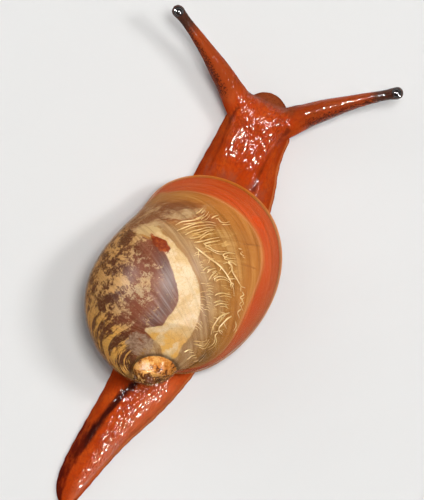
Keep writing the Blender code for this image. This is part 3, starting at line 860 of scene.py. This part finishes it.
def mark_body(mesh, turn, angle):
    """Writes where the colours of the body under the shell change."""
    points = get_points(mesh)
    x, y, z = points.T
    write_spiral(mesh, turn, angle)
    front = np.maximum(0.0, np.cos(angle))
    collar_edge = -0.052 - 0.040 * front**2 * ramp(0.2, 0.6, np.sin(angle) + 0.8)
    collar_edge *= 1 + 0.95 * ramp(0.6, -0.7, np.cos(angle)) * ramp(0.0, 0.3, np.sin(angle))
    inner_band = ramp(0.05, -0.02, collar_edge - 0.03 - turn)
    away = np.interp(y, *border_line()) - x
    dark_side = ramp(-0.35, 0.25, away) * ramp(3.3, 1.9, y)
    distance, _, width = near_line(points, KIDNEY)
    # Painted shadow: darker gold a little to one side of each vein, like a cast shadow.
    veins = [near_line(points + (0.05, 0.07, 0), [(*place, 0) for place in vein])[0]
             for vein in TRUNK_VEINS + FINE_VEINS]
    across, up = picture_places(points)
    from_apex = np.hypot(across / APEX_HALF_SIZES[0], np.maximum(up, 0) / APEX_HALF_SIZES[1])
    _, from_spire = nearest_of(spiral_grid(*SPIRE_TURNS)[2], points)
    # Painted shade: dark where the last whorl meets the spire, in the crease and in a ring round the apex where the
    # crease is filled over.
    crease = ramp(0.42, 0.12, from_spire) * ramp(-0.75, -0.55, turn) * ramp(0.3, -0.1, up)
    ring = np.exp(-(((from_apex - 1.10) / 0.13) ** 2)) * ramp(-0.4, 0.1, up) * (z > FILL_ABOVE)
    rear = ramp(-2.2, -4.0, y) * ramp(-1.2, -2.0, x + 0.5 * (y + 4.1))
    write_fields(mesh, {
        "collar": ramp(0.007, -0.007, collar_edge - turn),
        "collar_line": np.exp(-(((turn - collar_edge + 0.004) / 0.0022) ** 2)),
        "inner_band": inner_band,
        "kidney": np.maximum(soft_edge(points, KIDNEY, 0.5), soft_edge(points, KIDNEY_FOOT, 0.5)),
        "toward_apex": ramp(-1.2, -2.6, y),
        "beside_kidney": np.exp(-(((distance - width - 0.45) / 0.55) ** 2)) * ramp(0.3, -0.4, away),
        "painted_vein_shadow": np.exp(-((np.min(veins, axis=0) / PAINTED_VEIN_SHADOW_REACH) ** 2)),
        "heart": soft_edge(points, HEART, 0.4),
        "cream": soft_edge(points, CREAM_PATCH, 0.4),
        "upper_streaks": soft_edge(points, UPPER_STREAKS, 0.6),
        "cross_bands": np.maximum(*(line_mark(points, band, 0.10) for band in CROSS_BANDS)),
        "bright_spot": line_mark(points, BRIGHT_SPOT, 0.2),
        "nub": ramp(OLD_SHELL_TURN + 0.10, OLD_SHELL_TURN - 0.10, turn) * ramp(1.08, 0.96, from_apex),
        "nub_low": ramp(0.4, -0.8, up),
        "nub_right": ramp(-0.3, 1.0, across),
        # Painted highlight: a pale patch on the apex's upper left, where the lights shine.
        "worn": np.exp(-(((across + 0.52) / 0.50) ** 2) - ((up - 0.32) / 0.38) ** 2),
        # Painted shade along the suture below the apex, and in the ring round it.
        "suture": np.exp(-(((turn - SUTURE_TURN) / 0.045) ** 2)) * ramp(0.0, -0.5, up),
        "ring": np.maximum(crease * ramp(0.1, -0.3, up), ring),
        "dark_side": dark_side,
        # Beside the kidney: a purple-grey tone, and pale growth lines on it painted as a soft reflection.
        "purple_tone_and_painted_sheen": np.exp(-(((away - 0.75) / 0.60) ** 2)) * ramp(-3.0, -1.8, y) * ramp(2.6, 1.6, y),
        "lung": (1 - dark_side) * (1 - inner_band) * ramp(0.2, 0.9, distance - width),
        "grey_patch": ramp(1.25, 0.55, np.hypot(x + 1.3, 1.2 * (y + 3.65))) * (z > FILL_ABOVE),
        "far_left": ramp(-3.0, -4.8, x + 0.25 * y),
        "flecked": np.maximum(ramp(0.4, 1.8, away) + 0.2 * ramp(-1.6, -3.0, y), rear),
        "rear": rear,
        "top_front": ramp(4.3, 5.7, y - 0.35 * x) * (1 - inner_band),
    })


def border_line():
    """The dark zone's border with the kidney, as Y and X values."""
    return np.array(DARK_ZONE_BORDER)[::-1, 1], np.array(DARK_ZONE_BORDER)[::-1, 0]


def soft_edge(points, line, reach):
    """1 well inside a line's width and 0 well outside, 0.5 on its edge."""
    distance, _, width = near_line(points, line)
    return np.clip(0.5 + (width - distance) / (2 * reach), 0, 1)


def make_body_in_shell(surface, turn, angle, material):
    """The soft body as it shows through the shell, a little inside it and closed across the mouth."""
    mesh = surface.copy()
    points, normals = get_points(mesh), get_normals(mesh)
    set_points(mesh, points - normals * BODY_BELOW_SHELL)
    smooth_mesh(mesh, 4, ramp(-0.45, -0.75, turn))
    mark_body(mesh, turn, angle)
    with editing(mesh) as form:
        bmesh.ops.holes_fill(form, edges=[edge for edge in form.edges if edge.is_boundary], sides=0)
        bmesh.ops.triangulate(form, faces=[face for face in form.faces if len(face.verts) > 4])
        bmesh.ops.recalc_face_normals(form, faces=form.faces)
    mesh.shade_smooth()
    return new_object("body_in_shell", mesh, material)


# Veins of the lung

def vein_branches(vein, draw):
    """Short side branches, leaning on along the vein, alternately left and right."""
    fine = curve_through(vein, BRANCH_EVERY)
    branches = []
    for row in range(1, len(fine) - 1):
        along = math.atan2(fine[row + 1][1] - fine[row - 1][1], fine[row + 1][0] - fine[row - 1][0])
        for side in (-1, 1):
            if draw.random() < 0.65:
                continue
            length = draw.uniform(0.20, 0.50)
            lean = along + side * math.radians(draw.uniform(40, 75))
            x, y = fine[row]
            line = [(x, y)]
            for _ in range(3):
                x += length / 3 * math.cos(lean)
                y += length / 3 * math.sin(lean)
                lean += draw.uniform(-0.6, 0.6) - side * 0.12
                line.append((x, y))
            branches.append(line)
    return branches


def rungs(line, draw):
    """Fine short vessels side by side across a line, each a little arched."""
    fine = curve_through(line, RUNG_STEP)
    lines = []
    for before, (x, y), after in zip(fine, fine[1:], fine[2:]):
        if draw.random() < 0.25:
            continue
        along = math.atan2(after[1] - before[1], after[0] - before[0])
        across = along + math.radians(draw.uniform(60, 100))
        reach = draw.uniform(0.10, 0.26)
        arch = draw.uniform(0.02, 0.07)
        start = (x - reach * math.cos(across), y - reach * math.sin(across))
        middle = (x - arch * math.cos(along), y - arch * math.sin(along))
        end = (x + reach * math.cos(across), y + reach * math.sin(across))
        lines.append((start, middle, end))
    return lines


def vein_tube(line, radius, ground):
    """A thin tube along a line seen from above, half sunk in the body's surface."""
    rings = []
    fine = curve_through(line, 0.09)
    for row, (x, y) in enumerate(fine):
        hit, normal, _, _ = ground.ray_cast(Vector((x, y, 20)) * MM, Vector((0, 0, -1)))
        if hit is None:
            return None
        ahead = fine[min(row + 1, len(fine) - 1)]
        behind = fine[max(row - 1, 0)]
        direction = Vector((ahead[0] - behind[0], ahead[1] - behind[1], 0)).normalized()
        direction = (direction - normal * direction.dot(normal)).normalized()
        across = direction.cross(normal)
        share = row / (len(fine) - 1)
        size = radius * (1 - 0.75 * share**2) * min(1.0, 0.4 + 4 * share)
        middle = hit / MM + normal * size * 0.25
        rings.append([middle + size * (math.cos(a) * across + math.sin(a) * normal) for a in circle(6)])
    return loft("mass", rings)


def make_veins(body, material):
    draw = random.Random(SEED)
    with editing(body.data) as form:
        ground = BVHTree.FromBMesh(form)
    tubes = []
    for trunk in TRUNK_VEINS:
        tubes.append(vein_tube(trunk, TRUNK_RADIUS, ground))
        tubes += [vein_tube(branch, BRANCH_RADIUS, ground) for branch in vein_branches(trunk, draw)]
    for vein in FINE_VEINS:
        tubes.append(vein_tube(vein, VEIN_RADIUS, ground))
        beside = [(x + draw.uniform(0.10, 0.16), y - draw.uniform(0.08, 0.14)) for x, y in vein]
        tubes.append(vein_tube(beside[1:], BRANCH_RADIUS, ground))
    for line in RUNG_LINES:
        tubes += [vein_tube(rung, RUNG_RADIUS, ground) for rung in rungs(line, draw)]
    mesh = joined("lung_veins", [tube for tube in tubes if tube])
    mesh.shade_smooth()
    return new_object("lung_veins", mesh, material)


# Eyes

def make_eye(name, route, material):
    """A glossy black lens let into the upper side of the tentacle's bulb, with a low ring round it."""
    middle = route_point(route, EYE_SHARE)
    direction = route_direction(route, EYE_SHARE)
    across = direction.cross(Vector((0, 0, 1))).normalized()
    upward = across.cross(direction)
    outward = (upward * 0.93 + direction * 0.36).normalized()
    side = outward.cross(across).normalized()
    bulb = TENTACLE_RADII[-1][1]
    profile = [(1.28, -0.10), (1.30, -0.02), (1.18, 0.03), (1.04, 0.01)]
    profile += [(math.cos(a), 0.42 * math.sin(a)) for a in np.radians((8, 22, 36, 50, 64, 76, 86))]
    rings = []
    for reach, height in profile:
        level = middle + outward * (bulb - 0.055 + EYE_RADIUS * height)
        drop = (EYE_RADIUS * reach) ** 2 / (2 * bulb)
        rings.append([level - outward * drop * 0.6 + EYE_RADIUS * reach * (math.cos(a) * across + math.sin(a) * side)
                      for a in circle(36)])
    mesh = loft(name, rings)
    mesh.shade_smooth()
    return new_object(name, mesh, material)


# Materials

class Paint:
    """A material's node tree, with short calls for the nodes that the materials share.

    Where a call takes a value, it is a number or colour, a node's output, or the name of a field.
    """

    def __init__(self, name):
        self.material = bpy.data.materials.new(name)
        self.material.use_nodes = True
        self.tree = self.material.node_tree
        self.shader = self.tree.nodes["Principled BSDF"]
        here = self.node("TexCoord").outputs["Object"]
        self.place = self.node("VectorMath", {0: here, "Scale": 1 / MM}, operation="SCALE").outputs[0]

    def node(self, kind, inputs=None, **settings):
        node = self.tree.nodes.new("ShaderNode" + kind)
        for name, value in settings.items():
            setattr(node, name, value)
        for name, value in (inputs or {}).items():
            self.link(value, node.inputs[name])
        return node

    def link(self, source, socket):
        if isinstance(source, str):
            source = self.node("Attribute", attribute_name=source).outputs["Fac"]
        if isinstance(source, bpy.types.NodeSocket):
            self.tree.links.new(source, socket)
        elif isinstance(source, tuple) and len(source) == 3 and len(socket.default_value) == 4:
            socket.default_value = (*source, 1.0)
        else:
            socket.default_value = source

    def set(self, **sockets):
        for name, value in sockets.items():
            self.link(value, self.shader.inputs[name.replace("_", " ")])

    def sum(self, operation, *values, clamp=False):
        return self.node("Math", dict(enumerate(values)), operation=operation, use_clamp=clamp).outputs[0]

    def times(self, one, two):
        return self.sum("MULTIPLY", one, two)

    def added(self, value, factor, other, clamp=False):
        """A value times a factor, added to another value."""
        return self.sum("MULTIPLY_ADD", value, factor, other, clamp=clamp)

    def step(self, value, low, high):
        ends = {"Value": value, "From Min": low, "From Max": high}
        return self.node("MapRange", ends, interpolation_type="SMOOTHSTEP").outputs["Result"]

    def mix(self, share, one, two, blend="MIX"):
        return self.node("Mix", {"Factor": share, 6: one, 7: two}, data_type="RGBA", blend_type=blend).outputs[2]

    def between(self, value, low, high, one, two):
        """One colour where the value is low, turning into another where it is high."""
        return self.mix(self.step(value, low, high), one, two)

    def layers(self, colour, *marks):
        """Lays marks over a colour, each given as its colour, where it lies and how far it covers."""
        for mark, share, depth in marks:
            colour = self.mix(self.times(share, depth), colour, mark)
        return colour

    def stretched(self, place, factors):
        return self.node("VectorMath", {0: place, 1: factors}, operation="MULTIPLY").outputs[0]

    def bent(self, place, scale, reach):
        """The place, shifted about by a slow noise, so that a pattern on it doesn't look ruled."""
        shift = self.node("TexNoise", {"Vector": place, "Scale": scale}).outputs["Color"]
        return self.node("VectorMath", {0: shift, 1: (reach,) * 3, 2: place}, operation="MULTIPLY_ADD").outputs[0]

    def noise(self, place, scale, detail=3.0, roughness=0.55, distortion=0.0):
        sizes = {"Scale": scale, "Detail": detail, "Roughness": roughness, "Distortion": distortion}
        return self.node("TexNoise", {"Vector": place, **sizes}).outputs["Fac"]

    def cells(self, place, scale):
        """How far the place is from the border between cells."""
        inputs = {"Vector": place, "Scale": scale}
        return self.node("TexVoronoi", inputs, feature="DISTANCE_TO_EDGE").outputs["Distance"]

    def torn(self, field, grain, tear, low, high):
        """Where a field is strong, with its edge torn by a noise."""
        return self.step(self.added(self.sum("SUBTRACT", grain, 0.5), tear, field), low, high)

    def spiral(self, along, around):
        """A place on the shell as turn and angle, for marks that follow its growth."""
        factors = {"turn": along, "round_one": around, "round_two": around}
        values = [self.times(name, factor) for name, factor in factors.items()]
        return self.node("CombineXYZ", dict(enumerate(values))).outputs[0]

    def grown(self, along, around, *settings):
        """A noise that follows the shell's growth."""
        return self.noise(self.spiral(along, around), 1.0, *settings)

    def bump(self, height, depth, strength=1.0, normal=None):
        inputs = {"Height": height, "Strength": strength, "Distance": depth * MM}
        if normal is not None:
            inputs["Normal"] = normal
        return self.node("Bump", inputs).outputs["Normal"]


def skin_material():
    paint = Paint("wet_skin")
    long_place = paint.stretched(paint.place, (1.0, 0.5, 1.0))
    cloud = paint.noise(paint.place, 0.55)
    grain = paint.noise(paint.place, 5.0, 4, 0.6)
    speck = paint.noise(paint.place, 9.0, 3, 0.7)
    colour = paint.layers(
        paint.between(cloud, 0.35, 0.68, (0.38, 0.040, 0.004), (0.48, 0.064, 0.007)),
        ((0.20, 0.036, 0.010), paint.step(grain, 0.48, 0.70), 0.5),
        ((0.25, 0.018, 0.004), paint.step(paint.cells(long_place, 3.4), 0.12, 0.0), 0.25),
        ((0.25, 0.060, 0.030), paint.torn("neck_end", paint.noise(long_place, 1.3, 4, 0.65), 2.2, 0.75, 1.35), 0.65),
        ((0.50, 0.085, 0.020), "mantle", 0.8),
        ((0.19, 0.048, 0.016), "snout", 0.8),
        ((0.11, 0.018, 0.006), paint.times(paint.step(speck, 0.50, 0.62), "snout"), 0.55),
        # Painted shade in the mouth's line and slit.
        ((0.050, 0.010, 0.005), "mouth", 0.8),
        ((0.24, 0.034, 0.005), "tentacle", 0.75),
        ((0.050, 0.010, 0.005), paint.torn("stripe", speck, 2.8, 0.78, 1.02), 0.85),
        ((0.070, 0.010, 0.004), paint.torn("neck_lines", paint.noise(long_place, 1.8), 1.2, 0.45, 1.15), 0.65),
        # Partly the tail's own dark red, partly painted shade on its left rear.
        ((0.090, 0.006, 0.003), paint.torn("tail_left_tone_and_painted_shade", paint.noise(long_place, 2.4), 2.0, 0.45, 1.15), 0.9),
        ((0.026, 0.004, 0.003), paint.torn("tail_stripe", paint.noise(long_place, 2.6, 4), 1.1, 0.20, 1.00), 0.95),
        # Painted light on the tail's right side.
        ((0.56, 0.115, 0.038), "painted_light_flank", 0.7),
        # Darker fringe: partly its own tone, partly painted shade low by the floor.
        ((0.24, 0.036, 0.010), "fringe", 0.6),
        ((0.46, 0.19, 0.06), "pale_line", 0.6),
        ((0.055, 0.022, 0.013), paint.torn("tip", speck, 0.8, 0.30, 0.85), 0.96),
    )
    ridges = paint.noise(paint.bent(long_place, 1.2, 0.4), 4.3, 0, 0.5, 1.0)
    folds = paint.noise(long_place, 1.8, 2, 0.5, 0.6)
    strength = paint.added("tentacle", 0.25, paint.added("wet", 0.80, 0.20, clamp=True), clamp=True)
    normal = paint.bump(paint.added(folds, 0.8, ridges), 0.085, strength)
    wetted = paint.sum("MAXIMUM", paint.added("tail_stripe", -0.03, 0.03), "wet")
    wetted = paint.sum("MAXIMUM", wetted, "tentacle_gloss")
    paint.set(Base_Color=colour, Roughness=0.5, Specular_IOR_Level=0.0, Normal=paint.bump(grain, 0.012, 0.5, normal))
    paint.set(Subsurface_Weight=0.22, Subsurface_Radius=(1.0, 0.25, 0.12), Subsurface_Scale=0.35 * MM)
    paint.set(Coat_Weight=wetted, Coat_Roughness=0.07, Coat_IOR=1.35, Coat_Normal=normal)
    return paint.material


def lung_colour(paint, cloud, growth):
    """The lung's roof: golden brown with lines along the growth, pale threads and a painted shadow beside the veins.
    """
    threads = paint.sum("ABSOLUTE", paint.sum("SUBTRACT", paint.grown(16.0, 9.0, 2, 0.5, 0.4), 0.5))
    grey = paint.between(growth, 0.40, 0.65, (0.33, 0.205, 0.115), (0.50, 0.355, 0.22))
    return paint.layers(
        paint.between(cloud, 0.35, 0.65, (0.34, 0.160, 0.038), (0.45, 0.240, 0.080)),
        ((0.56, 0.36, 0.16), paint.step(growth, 0.50, 0.70), 0.55),
        ((0.24, 0.100, 0.026), paint.step(paint.grown(9.0, 11.0), 0.52, 0.68), 0.55),
        # Painted shadow beside the veins.
        ((0.22, 0.090, 0.016), "painted_vein_shadow", 0.70),
        ((0.78, 0.54, 0.22), paint.times(paint.step(threads, 0.020, 0.004), "lung"), 0.5),
        ((0.21, 0.100, 0.030), "toward_apex", 0.45),
        (grey, "beside_kidney", 0.8),
    )


def front_colour(paint, colour, cloud, rough):
    """The smoky front of the lung and the streaks beside it."""
    smoke = paint.times(paint.grown(9.0, 2.2, 4, 0.6), "top_front")
    streaky = paint.noise(paint.bent(paint.spiral(15.0, 3.0), 0.7, 0.8), 1.0, 7, 0.74)
    tan = paint.between(rough, 0.4, 0.6, (0.36, 0.23, 0.13), (0.56, 0.42, 0.26))
    dark = paint.torn("upper_streaks", paint.sum("SUBTRACT", 1.0, streaky), 3.6, 0.72, 1.02)
    return paint.layers(
        colour,
        ((0.36, 0.130, 0.055), paint.step(paint.added(cloud, 0.5, "top_front"), 0.55, 1.15), 0.65),
        ((0.20, 0.070, 0.045), paint.step(smoke, 0.30, 0.62), 0.6),
        (tan, paint.torn("upper_streaks", streaky, 3.4, 0.52, 0.78), 0.85),
        ((0.16, 0.045, 0.028), dark, 0.75),
    )


def gut_colour(paint, colour, cloud, growth, lines):
    """The dark side: red-brown, and purple beside the kidney with fine pale lines of painted reflection there;
    flecked with tan away from it.
    """
    coarse = paint.times(paint.noise(paint.bent(paint.place, 0.8, 0.5), 1.10, 10, 0.80),
                         paint.sum("SUBTRACT", 1.0, "rear"))
    more = paint.sum("ADD", coarse, paint.times(paint.grown(7.0, 5.0, 8, 0.72), "rear"))
    more = paint.added("flecked", 0.112, paint.added("far_left", 0.02, more))
    fine = paint.noise(paint.place, 7.0, 3, 0.75)
    tan = paint.layers(
        paint.between(cloud, 0.42, 0.58, (0.50, 0.37, 0.25), (0.60, 0.42, 0.24)),
        ((0.66, 0.38, 0.13), "far_left", 0.8),
        ((0.78, 0.44, 0.11), "rear", 1.0),
        ((0.30, 0.15, 0.070), paint.step(fine, 0.50, 0.72), 0.7),
    )
    gut = paint.layers(
        paint.between(cloud, 0.4, 0.6, (0.195, 0.052, 0.028), (0.240, 0.085, 0.052)),
        ((0.30, 0.14, 0.10), paint.step(growth, 0.5, 0.7), 0.3),
        # Purple-grey tone beside the kidney, then pale lines on it painted as a soft reflection.
        ((0.120, 0.075, 0.085), "purple_tone_and_painted_sheen", 0.75),
        ((0.36, 0.31, 0.34), paint.times(paint.step(lines, 0.46, 0.66), "purple_tone_and_painted_sheen"), 0.40),
        ((0.050, 0.015, 0.008), paint.sum("MAXIMUM", "far_left", "rear"), 0.8),
        ((0.42, 0.26, 0.15), paint.times(paint.step(more, 0.52, 0.62), paint.step(fine, 0.54, 0.62)), 0.65),
        (tan, paint.step(more, 0.625, 0.660), 0.92),
    )
    inside = paint.torn("dark_side", paint.noise(paint.place, 4.0, 4, 0.6), 0.5, 0.42, 0.58)
    return paint.mix(inside, colour, gut)


def kidney_colour(paint, colour, grain):
    """The pale kidney with its orange end, the heart over it and the cream patch beside the heart."""
    ashen = paint.between(grain, 0.38, 0.66, (0.42, 0.310, 0.250), (0.23, 0.140, 0.105))
    blood = paint.between(grain, 0.4, 0.7, (0.20, 0.024, 0.007), (0.36, 0.070, 0.016))
    orange = paint.times("toward_apex", paint.step(paint.noise(paint.place, 1.1), 0.38, 0.56))
    cracks = paint.cells(paint.bent(paint.place, 1.6, 0.6), 1.9)
    pale = paint.layers(
        paint.between(paint.noise(paint.place, 1.2, 4), 0.38, 0.62, (0.64, 0.46, 0.25), (0.72, 0.59, 0.42)),
        ((0.70, 0.41, 0.11), orange, 1.0),
        ((0.46, 0.27, 0.11), paint.step(cracks, 0.045, 0.0), 0.40),
        ((0.48, 0.26, 0.10), paint.step(paint.noise(paint.place, 7.0, 3, 0.7), 0.58, 0.70), 0.5),
    )
    return paint.layers(
        colour,
        (ashen, paint.torn("grey_patch", paint.noise(paint.place, 1.8, 5, 0.7), 3.0, 0.40, 0.90), 0.85),
        ((0.62, 0.46, 0.26), paint.torn("cream", grain, 0.9, 0.42, 0.62), 0.9),
        (pale, paint.torn("kidney", paint.noise(paint.place, 1.6, 6, 0.7), 0.22, 0.44, 0.54), 1.0),
        (blood, paint.torn("heart", paint.noise(paint.place, 2.6, 4), 0.9, 0.46, 0.60), 1.0),
    )


def apex_colour(paint, colour, grain):
    """The golden apex with red-brown streaks and a painted highlight as a pale patch, set off by a dark ring of
    painted shade.
    """
    pattern = paint.noise(paint.bent(paint.place, 1.5, 0.3), 2.6, 5, 0.68)
    nub = paint.layers(
        paint.between(pattern, 0.46, 0.60, (0.60, 0.220, 0.036), (0.84, 0.50, 0.17)),
        ((0.62, 0.20, 0.028), "nub_right", 0.6),
        ((0.10, 0.024, 0.010), paint.step(paint.added("nub_low", -0.17, pattern), 0.430, 0.395), 0.95),
        # Painted highlight: the pale patch on the apex's upper left.
        ((0.94, 0.80, 0.66), paint.torn("worn", paint.noise(paint.place, 7.0, 4, 0.75), 2.6, 0.35, 1.10), 0.85),
    )
    return paint.layers(
        colour,
        # Painted shade: the dark ring round the apex and the darker suture.
        ((0.055, 0.030, 0.022), "ring", 0.85),
        (nub, paint.torn("nub", grain, 0.5, 0.42, 0.58), 1.0),
        ((0.10, 0.045, 0.032), "suture", 0.7),
    )


def edge_colour(paint, colour, growth, grain):
    """The orange band inside the mantle's edge, with its two cross-bands, and the red edge."""
    band = paint.layers(
        paint.between(growth, 0.4, 0.7, (0.48, 0.170, 0.034), (0.60, 0.26, 0.070)),
        ((0.26, 0.085, 0.030), paint.step(paint.grown(3.0, 3.2, 2), 0.56, 0.66), 0.2),
    )
    edge = paint.layers(
        paint.between(growth, 0.35, 0.7, (0.60, 0.054, 0.012), (0.70, 0.100, 0.026)),
        ((0.74, 0.060, 0.005), paint.torn("bright_spot", grain, 1.4, 0.35, 0.70), 0.85),
    )
    return paint.layers(
        colour,
        (band, "inner_band", 0.9),
        ((0.22, 0.070, 0.026), paint.torn("cross_bands", grain, 1.0, 0.30, 0.85), 0.6),
        (edge, "collar", 1.0),
        ((0.74, 0.32, 0.15), "collar_line", 0.6),
    )


def body_material():
    """The body as it shows through the shell: lung, kidney, heart, dark gut with pale flecks, mantle's red edge."""
    paint = Paint("body_under_shell")
    cloud = paint.noise(paint.place, 0.5, 4)
    grain = paint.noise(paint.place, 4.0, 4, 0.6)
    rough = paint.noise(paint.bent(paint.place, 0.8, 0.5), 1.6, 8, 0.80)
    growth = paint.grown(60.0, 1.2)
    lines = paint.grown(170.0, 1.0, 2)
    colour = lung_colour(paint, cloud, growth)
    colour = front_colour(paint, colour, cloud, rough)
    colour = gut_colour(paint, colour, cloud, growth, lines)
    colour = kidney_colour(paint, colour, grain)
    colour = apex_colour(paint, colour, grain)
    colour = edge_colour(paint, colour, growth, grain)
    off_kidney = paint.added(paint.step("kidney", 0.35, 0.65), -0.65, 1.0)
    dark_lines = paint.times(paint.times(paint.step(lines, 0.52, 0.32), 0.65), off_kidney)
    colour = paint.mix(dark_lines, colour, (0.62, 0.54, 0.46), "MULTIPLY")
    paint.set(Base_Color=colour, Roughness=0.6, Specular_IOR_Level=0.02, Normal=paint.bump(grain, 0.03, 0.4))
    paint.set(Subsurface_Weight=0.12, Subsurface_Radius=(1.0, 0.4, 0.2), Subsurface_Scale=0.25 * MM)
    return paint.material


def wall_material():
    """Thin clear amber shell: it lets most light straight through, and its growth lines shine and tint a little."""
    paint = Paint("shell_wall")
    lines = paint.grown(150.0, 1.0, 2)
    normal = paint.bump(lines, 0.035, 0.6, paint.bump(paint.grown(38.0, 1.4), 0.05, 0.5))
    lip = paint.step("turn", -0.014, -0.005)
    colour = paint.mix(lip, (0.58, 0.22, 0.040), (0.68, 0.21, 0.015))
    paint.set(Base_Color=colour, Roughness=0.4, Specular_IOR_Level=0.1, Normal=normal)
    slant = paint.node("LayerWeight", {"Blend": 0.35}).outputs["Facing"]
    share = paint.added(paint.sum("POWER", slant, 2.0), 0.40, 0.01)
    share = paint.added(paint.step(lines, 0.5, 0.8), 0.05, share)
    share = paint.added(lip, 0.60, share, clamp=True)
    clear = paint.node("BsdfTransparent", {"Color": (1.0, 0.98, 0.93)}).outputs[0]
    film = paint.node("MixShader", {0: share, 1: clear, 2: paint.shader.outputs[0]}).outputs[0]
    # Gloss roughness by turn, smoother on the rubbed old apex.
    worn = {"Value": "turn", "From Min": -0.95, "From Max": -0.60, "To Min": 0.10, "To Max": 0.38}
    dulled = paint.node("MapRange", worn).outputs["Result"]
    gloss = paint.node("BsdfGlossy", {"Roughness": dulled, "Normal": normal}).outputs[0]
    whole = paint.node("MixShader", {0: 0.0045, 1: film, 2: gloss}).outputs[0]
    paint.link(whole, paint.tree.nodes["Material Output"].inputs["Surface"])
    return paint.material


def vein_material():
    paint = Paint("lung_vein")
    colour = paint.between(paint.noise(paint.place, 1.4), 0.35, 0.65, (0.60, 0.39, 0.14), (0.80, 0.61, 0.31))
    paint.set(Base_Color=colour, Roughness=0.3, Normal=paint.bump(paint.noise(paint.place, 12.0), 0.01, 0.4))
    return paint.material


def eye_material():
    paint = Paint("eye")
    colour = paint.mix(paint.noise(paint.place, 6.0, 2), (0.004, 0.003, 0.003), (0.020, 0.012, 0.010))
    paint.set(Base_Color=colour, Roughness=0.12, Coat_Weight=1.0, Coat_Roughness=0.02)
    return paint.material


def floor_material():
    paint = Paint("floor")
    colour = paint.mix(paint.noise(paint.place, 0.02, 2), (0.61, 0.605, 0.595), (0.65, 0.645, 0.635))
    paint.set(Base_Color=colour, Roughness=0.8, Specular_IOR_Level=0.0)
    return paint.material


# Camera, light and floor

def view_directions():
    """The directions to the right and to the top of the picture."""
    right = Vector((math.cos(VIEW_TURNED), math.sin(VIEW_TURNED), 0))
    return right, Vector((-right.y, right.x, 0))


def make_camera():
    camera = bpy.data.cameras.new("camera")
    camera.sensor_width = SENSOR
    camera.lens = SENSOR * CAMERA_HEIGHT / VIEW_TALL
    camera.clip_start = 0.01
    holder = bpy.data.objects.new("camera", camera)
    holder.location = (Vector(CAMERA_TARGET) + Vector((0, 0, CAMERA_HEIGHT))) * MM
    holder.rotation_euler = (0, 0, VIEW_TURNED)
    bpy.context.scene.collection.objects.link(holder)
    bpy.context.scene.camera = holder


def make_light(name, to_right, to_top, height, width, power, lights="both"):
    """A soft box that looks at the snail, placed by how far right and up in the picture it stands, in millimetres.

    It lights surfaces, shines in gloss, or both.
    """
    right, top = view_directions()
    target = Vector(CAMERA_TARGET)
    light = bpy.data.lights.new(name, "AREA")
    light.shape = "RECTANGLE"
    light.size = width[0] * MM
    light.size_y = width[1] * MM
    light.energy = power
    holder = bpy.data.objects.new(name, light)
    place = target + right * to_right + top * to_top + Vector((0, 0, height))
    holder.location = place * MM
    holder.rotation_euler = (target - place).to_track_quat("-Z", "Y").to_euler()
    holder.visible_camera = False
    holder.visible_diffuse = lights != "gloss"
    holder.visible_glossy = lights != "surface"
    bpy.context.scene.collection.objects.link(holder)


def make_studio():
    world = bpy.data.worlds.new("studio")
    world.use_nodes = True
    world.node_tree.nodes["Background"].inputs["Color"].default_value = (0.93, 0.96, 1.0, 1.0)
    world.node_tree.nodes["Background"].inputs["Strength"].default_value = 0.12
    bpy.context.scene.world = world
    make_light("key", 50, 45, 520, (90, 100), 2.1)
    make_light("key_shine", 50, 45, 520, (42, 48), 4.0, "gloss")
    make_light("side_flash", 250, 60, 470, (60, 120), 1.15)
    make_light("side_shine", 250, 60, 470, (36, 60), 3.0, "gloss")
    make_light("low_shine", 380, -370, 400, (60, 60), 11.0, "gloss")
    make_light("left_shine", -500, 160, 480, (60, 60), 8.0, "gloss")
    make_light("fill", -300, 250, 420, (400, 400), 0.55, "surface")
    mesh = bpy.data.meshes.new("floor")
    with editing(mesh) as form:
        bmesh.ops.create_grid(form, x_segments=1, y_segments=1, size=0.6)
    floor = new_object("floor", mesh, floor_material())
    bpy.context.scene.view_settings.view_transform = "Standard"


def main():
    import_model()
    make_camera()
    make_studio()
    skin = make_skin(skin_material())
    surface, turn, angle = shell_surface()
    body = make_body_in_shell(surface, turn, angle, body_material())
    wall = make_wall(surface, turn, angle, wall_material())
    bpy.data.meshes.remove(surface)
    veins = make_veins(body, vein_material())
    eye = eye_material()
    eyes = [make_eye(f"eye_{side}_lens", route, eye)
            for side, route in (("left", TENTACLE_LEFT), ("right", TENTACLE_RIGHT))]
    for piece in (skin, body, wall, veins, *eyes):
        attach(piece, "root")
    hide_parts("mantle_collar", "tail", "foot", "neck", "head", "feeler_left", "feeler_right",
                "tentacle_left_lower", "tentacle_left_upper", "tentacle_right_lower", "tentacle_right_upper")
    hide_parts("shell")
    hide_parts("eye_left")
    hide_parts("eye_right")


main()
